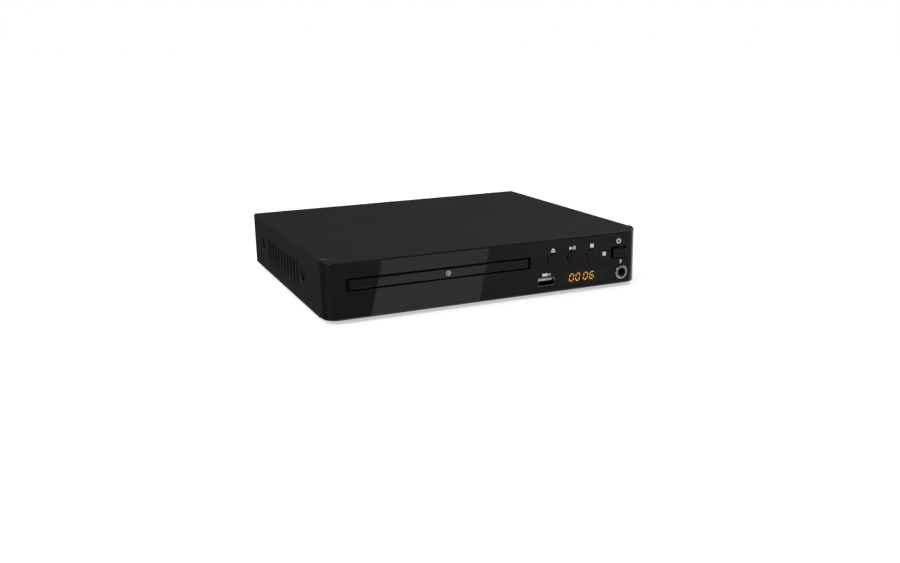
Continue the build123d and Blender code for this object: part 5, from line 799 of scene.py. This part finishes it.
class PLAYER_OT_rear_sockets(Operator):
    """Finish the round sockets, their rings, the flat digital socket and the mains inlet"""

    bl_idname = "player.rear_sockets"
    bl_label = "Rear sockets"

    def execute(self, context):
        black = satin_plastic("Inlet black", (0.016, 0.016, 0.017), roughness=0.38, grain_size=0.0005)
        finish(black, "rca_housing", "mains_inlet")
        plated = sheet_metal("Socket plating", (0.80, 0.78, 0.72), roughness=0.2, along=(1.0, 0.05, 1.0),
                             size=0.0003, depth=0.000005, spread=0.06)
        finish(plated, "rca_sockets", "hdmi_port")
        rings = {"yellow": (0.80, 0.58, 0.02), "orange": (0.78, 0.20, 0.015), "white": (0.76, 0.76, 0.74),
                 "red": (0.56, 0.012, 0.014)}
        for name, tint in rings.items():
            made = satin_plastic(name.title() + " ring", tint, roughness=0.3, grain_size=0.0006, depth=0.00001,
                                 level=0.5, spread=0.07, wear=0.2)
            finish(made, "rca_ring_" + name)
        return {"FINISHED"}


class PLAYER_OT_boards(Operator):
    """Finish the circuit boards, what stands on them and the wiring"""

    bl_idname = "player.boards"
    bl_label = "Boards and wiring"

    def execute(self, context):
        finish(circuit_board("Tan board", (0.36, 0.22, 0.09), (0.44, 0.28, 0.13)), "front_board", "mic_board",
               "psu_board")
        finish(circuit_board("Green board", (0.012, 0.10, 0.035), (0.03, 0.17, 0.06)), "main_board")
        black = satin_plastic("Part black", (0.018, 0.018, 0.019), roughness=0.45, grain_size=0.0003)
        finish(black, "front_switches", "power_switch", "main_board_parts")
        finish(satin_plastic("Ferrite and tape", (0.055, 0.05, 0.048), roughness=0.6, grain_size=0.0006,
                             depth=0.00008, spread=0.3), "transformer")
        finish(satin_plastic("Capacitor sleeve", (0.014, 0.018, 0.045), roughness=0.3, grain_size=0.001,
                             depth=0.00002, level=0.5), "psu_capacitors")
        finish(sheet_metal("Bare alloy", (0.66, 0.67, 0.68), roughness=0.4, along=(1.0, 1.0, 0.04)), "heatsinks")
        finish(satin_plastic("Blue wire", (0.02, 0.06, 0.30), roughness=0.45, grain_size=0.0005), "mains_wires")
        finish(ribbon_strip("Ribbon", 1.27 * MM), "front_ribbon")
        return {"FINISHED"}


class PLAYER_OT_tray(Operator):
    """Finish the disc tray"""

    bl_idname = "player.tray"
    bl_label = "Disc tray"

    def execute(self, context):
        made = satin_plastic("Tray plastic", (0.020, 0.020, 0.0215), roughness=0.48, grain_size=0.0005,
                             depth=0.00005, level=0.3, wear=0.5)
        finish(made, "disc_tray")
        return {"FINISHED"}


class PLAYER_OT_loader(Operator):
    """Finish the loader frame, the tray's drive, the cam and the disc clamp"""

    bl_idname = "player.loader"
    bl_label = "Loader and drive"

    def execute(self, context):
        finish(satin_plastic("Loader plastic", (0.017, 0.017, 0.018), roughness=0.5, grain_size=0.0006,
                             depth=0.00006), "loader_frame", "lift_frame")
        acetal = satin_plastic("Acetal", (0.72, 0.70, 0.63), roughness=0.35, grain_size=0.0004, depth=0.00001,
                               spread=0.06, wear=0.0)
        finish(acetal, "tray_gear", "pulley_gear", "motor_pulley", "disc_clamp", "cam_slider", "feed_gear",
               "feed_pinion")
        finish(sheet_metal("Motor can", (0.58, 0.57, 0.54), roughness=0.3, along=(1.0, 1.0, 0.05)), "tray_motor",
               "spindle_motor", "feed_motor")
        finish(rubber("Belt rubber", (0.011, 0.011, 0.011), 0.7), "drive_belt")
        return {"FINISHED"}


class PLAYER_OT_spindle_unit(Operator):
    """Finish the spindle, the guide rods, the pickup and its lens"""

    bl_idname = "player.spindle_unit"
    bl_label = "Spindle unit"

    def execute(self, context):
        finish(rubber("Damper rubber", (0.10, 0.012, 0.014), 0.65), "rubber_dampers")
        finish(sheet_metal("Ground rod", (0.80, 0.80, 0.81), roughness=0.14, along=(1.0, 0.02, 1.0), size=0.0002,
                           depth=0.000003), "guide_rods")
        finish(satin_plastic("Turntable black", (0.016, 0.016, 0.016), roughness=0.55, grain_size=0.0003),
               "turntable")
        finish(sheet_metal("Cast zinc", (0.38, 0.385, 0.40), roughness=0.5, along=(1.0, 1.0, 1.0), size=0.0007,
                           depth=0.00004, spread=0.16), "pickup")
        finish(coated_glass("Lens glass"), "objective_lens")
        return {"FINISHED"}


# Floor, light and camera


# The camera's aimed point in shares of the front's width: right of X 0, behind the front's face, under its bottom
AIMED_POINT = (0.03997, 0.400, 0.03821)
# Where the left and right edge of the mirrored strip cross the front's bottom and its top, along X
BAND_EDGES = ((-85.5 * MM, -76.1 * MM), (-9.8 * MM, -2.0 * MM))
# The floor's cards: their height over it, their width, and how many times the mirrored length the strip runs on
CARD_LIFT, CARD_WIDTH, STRIP_STRETCH = 0.4 * MM, 1.2, 6.0
# The other cards, in metres: the left one's X, also its front end's Y, the rear one's Y, its top, half its length
WALL_X, REAR_Y, WALL_TOP, HALL_X = -1.4, 1.1, 1.3, 2.5


def lit_floor(settings):
    """A pale floor that keeps the shadow and reads as white where nothing shades it."""
    made, tree, shader = material("Pale floor")
    cloud = noise(tree, object_place(tree), 3.0, 3.0)
    feed(tree, shader, Base_Color=shades(tree, cloud, tuple(settings.floor), 1.0, 1.01), Roughness=0.95,
         Specular_IOR_Level=0.0, Emission_Color=(1.0, 1.0, 1.0), Emission_Strength=seen(tree, 0.5))
    return made


def seen(tree, strength):
    """A strength for what the camera sees straight on, in a reflection or through glass, and none otherwise."""
    ray = add(tree, "ShaderNodeLightPath").outputs
    total = maths(tree, "MAXIMUM", ray["Is Camera Ray"], ray["Is Glossy Ray"])
    return maths(tree, "MULTIPLY", maths(tree, "MAXIMUM", total, ray["Is Transmission Ray"]), strength)


def light_sky(strength):
    """An even sky that is white to look at."""
    world = bpy.data.worlds.new("Even light")
    bpy.context.scene.world = world
    world.use_nodes = True
    tree = world.node_tree
    feed(tree, tree.nodes["Background"], Color=(1.0, 1.0, 1.0),
         Strength=maths(tree, "MAXIMUM", seen(tree, 1.0), strength))


def flat_sheet(name, corners, made):
    """A four-cornered sheet of the stage."""
    mesh = bpy.data.meshes.new(name)
    mesh.from_pydata([tuple(c) for c in corners], [], [(0, 1, 2, 3)])
    sheet = new_piece(name, mesh, made)
    return sheet


def soft_light(name, place, aim, size, power):
    """A large square light that looks at a point."""
    data = bpy.data.lights.new(name, "AREA")
    data.shape = "SQUARE"
    data.size = size
    data.energy = power
    lamp = bpy.data.objects.new(name, data)
    bpy.context.scene.collection.objects.link(lamp)
    lamp.location = place
    lamp.rotation_euler = (Vector(aim) - Vector(place)).to_track_quat("-Z", "Y").to_euler()


def camera_axes(settings):
    """The way back to the camera, and the picture's own right and up."""
    az, el, roll = settings.azimuth, settings.elevation, settings.roll
    back = Vector((sin(az) * cos(el), -cos(az) * cos(el), sin(el)))
    side = (-back).cross(Vector((0.0, 0.0, 1.0))).normalized()
    top = side.cross(-back)
    return back, side * cos(roll) + top * sin(roll), top * cos(roll) - side * sin(roll)


def place_camera(settings):
    """The camera at the photograph's angle. The aimed point lies near the middle of the case."""
    low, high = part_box("front_bezel")
    right, deep, down = (share_of_width * (high.x - low.x) for share_of_width in AIMED_POINT)
    aim = Vector((right, low.y + deep, low.z - down))
    back, side, top = camera_axes(settings)
    data = bpy.data.cameras.new("Camera")
    data.lens = settings.lens
    data.clip_start = 0.01
    camera = bpy.data.objects.new("Camera", data)
    bpy.context.scene.collection.objects.link(camera)
    turn = Matrix((side, top, back)).transposed().to_4x4()
    camera.matrix_world = Matrix.Translation(aim + back * settings.distance) @ turn
    bpy.context.scene.camera = camera
    return camera


def mirrored_on_floor(camera, x, z, height):
    """Where on the floor the front mirrors to the camera at a point of its face."""
    point = Vector((x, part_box("front_bezel")[0].y, z))
    ray = point - camera.matrix_world.translation
    ray.y = -ray.y
    return point + ray * ((height - z) / ray.z)


def card(name, corners, glow, end_glow=None, reach=1.0):
    """A sheet that only reflections see. Its brightness may change from its first corner on along X."""
    made, tree, shader = material(name.replace("_", " ").capitalize())
    start = corners[0][0]
    along = span(tree, along_axis(tree, object_place(tree), "X"), start, start + reach)
    end_glow = glow if end_glow is None else end_glow
    tone = blend_colours(tree, along, (glow, glow, glow), (end_glow, end_glow, end_glow))
    feed(tree, shader, Base_Color=(0.0, 0.0, 0.0), Roughness=1.0, Specular_IOR_Level=0.0, Emission_Color=tone,
         Emission_Strength=1.0)
    sheet = flat_sheet(name, corners, made)
    for ray in ("camera", "diffuse", "transmission", "shadow"):
        setattr(sheet, "visible_" + ray, False)


def reflection_cards(camera, settings):
    """Cards round the player: the front mirrors a slanting pale strip between two dark ones."""
    low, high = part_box("front_bezel")
    edges = []
    for x_low, x_high in BAND_EDGES:
        near = mirrored_on_floor(camera, x_low, low.z, CARD_LIFT)
        far = mirrored_on_floor(camera, x_high, high.z, CARD_LIFT)
        edges.append((near, near + (far - near) * STRIP_STRETCH))
    (near_left, far_left), (near_right, far_right) = edges
    wide = Vector((CARD_WIDTH, 0.0, 0.0))
    dark, rear = settings.dark_card, settings.rear_card
    card("card_strip", (near_left, near_right, far_right, far_left), settings.strip_card)
    card("card_left", (near_left - wide, near_left, far_left, far_left - wide), dark)
    card("card_right", (near_right, near_right + wide, far_right + wide, far_right), settings.right_card,
         settings.right_end, reach=0.30)
    beside = low.x - MM
    card("card_side", ((WALL_X, near_left.y, CARD_LIFT), (beside, near_left.y, CARD_LIFT),
                       (beside, REAR_Y, CARD_LIFT), (WALL_X, REAR_Y, CARD_LIFT)), settings.side_card)
    card("card_corner", ((WALL_X, WALL_X, CARD_LIFT), (WALL_X, near_left.y, CARD_LIFT),
                         (near_left.x, near_left.y, CARD_LIFT), (far_left.x - CARD_WIDTH, WALL_X, CARD_LIFT)),
         dark * 0.2)
    card("card_wall", ((WALL_X, WALL_X, 0.0), (WALL_X, REAR_Y, 0.0), (WALL_X, REAR_Y, WALL_TOP),
                       (WALL_X, WALL_X, WALL_TOP)), settings.side_card)
    for name, (y0, z0), (y1, z1), glow in (("card_rear", (REAR_Y, 0.0), (REAR_Y, WALL_TOP), rear),
                                           ("card_top", (-0.2, 1.6), (1.2, WALL_TOP), rear),
                                           ("card_front", (-2.0, 0.9), (-0.2, 1.6), dark),
                                           ("card_ahead", (-2.0, 0.0), (-2.0, 0.9), dark * 0.5)):
        card(name, ((-HALL_X, y0, z0), (HALL_X, y0, z0), (HALL_X, y1, z1), (-HALL_X, y1, z1)), glow)


class PLAYER_OT_stage(Operator):
    """Lay the floor, set the light and place the camera"""

    bl_idname = "player.stage"
    bl_label = "Floor, light and camera"

    def execute(self, context):
        settings = context.scene.player_stage
        context.scene.view_settings.view_transform = "Standard"
        flat_sheet("floor", ((-6, -6, 0), (6, -6, 0), (6, 6, 0), (-6, 6, 0)), lit_floor(settings))
        light_sky(settings.sky)
        middle = (0.0, 0.0, 0.02)
        soft_light("key", (-1.1, -0.7, 1.3), middle, 1.1, settings.key_power)
        soft_light("fill", (1.0, 0.9, 1.4), middle, 1.0, settings.fill_power)
        soft_light("side", (-1.5, 0.1, 0.45), (-0.1, 0.0, 0.02), 0.6, settings.side_power)
        camera = place_camera(settings)
        if settings.use_cards:
            reflection_cards(camera, settings)
        return {"FINISHED"}


OPERATORS = (
    PLAYER_OT_front,
    PLAYER_OT_buttons,
    PLAYER_OT_symbols,
    PLAYER_OT_display,
    PLAYER_OT_front_sockets,
    PLAYER_OT_cover,
    PLAYER_OT_chassis,
    PLAYER_OT_rear_sockets,
    PLAYER_OT_boards,
    PLAYER_OT_tray,
    PLAYER_OT_loader,
    PLAYER_OT_spindle_unit,
    PLAYER_OT_stage,
)

SETTINGS = {
    "player_front": FrontSettings,
    "player_cover": CoverSettings,
    "player_symbols": SymbolSettings,
    "player_display": DisplaySettings,
    "player_stage": StageSettings,
}


class PLAYER_PT_looks(Panel):
    """The settings and the steps in the 3D view's sidebar"""

    bl_idname = "PLAYER_PT_looks"
    bl_label = "Disc player"
    bl_space_type = "VIEW_3D"
    bl_region_type = "UI"
    bl_category = "Disc player"

    def draw(self, context):
        for name, group in SETTINGS.items():
            box = self.layout.box()
            for entry in group.__annotations__:
                box.prop(getattr(context.scene, name), entry)
        for step in OPERATORS:
            self.layout.operator(step.bl_idname)


def register():
    """Registers the settings, the operators and the panel."""
    for name, group in SETTINGS.items():
        bpy.utils.register_class(group)
        setattr(bpy.types.Scene, name, PointerProperty(type=group))
    for step in OPERATORS + (PLAYER_PT_looks,):
        bpy.utils.register_class(step)


def unregister():
    """Takes them away again, the last first."""
    for step in reversed(OPERATORS + (PLAYER_PT_looks,)):
        bpy.utils.unregister_class(step)
    for name, group in SETTINGS.items():
        delattr(bpy.types.Scene, name)
        bpy.utils.unregister_class(group)


def main():
    """Runs every step in order."""
    register()
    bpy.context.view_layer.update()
    for step in OPERATORS:
        group, name = step.bl_idname.split(".")
        getattr(getattr(bpy.ops, group), name)()


if __name__ == "__main__":
    main()
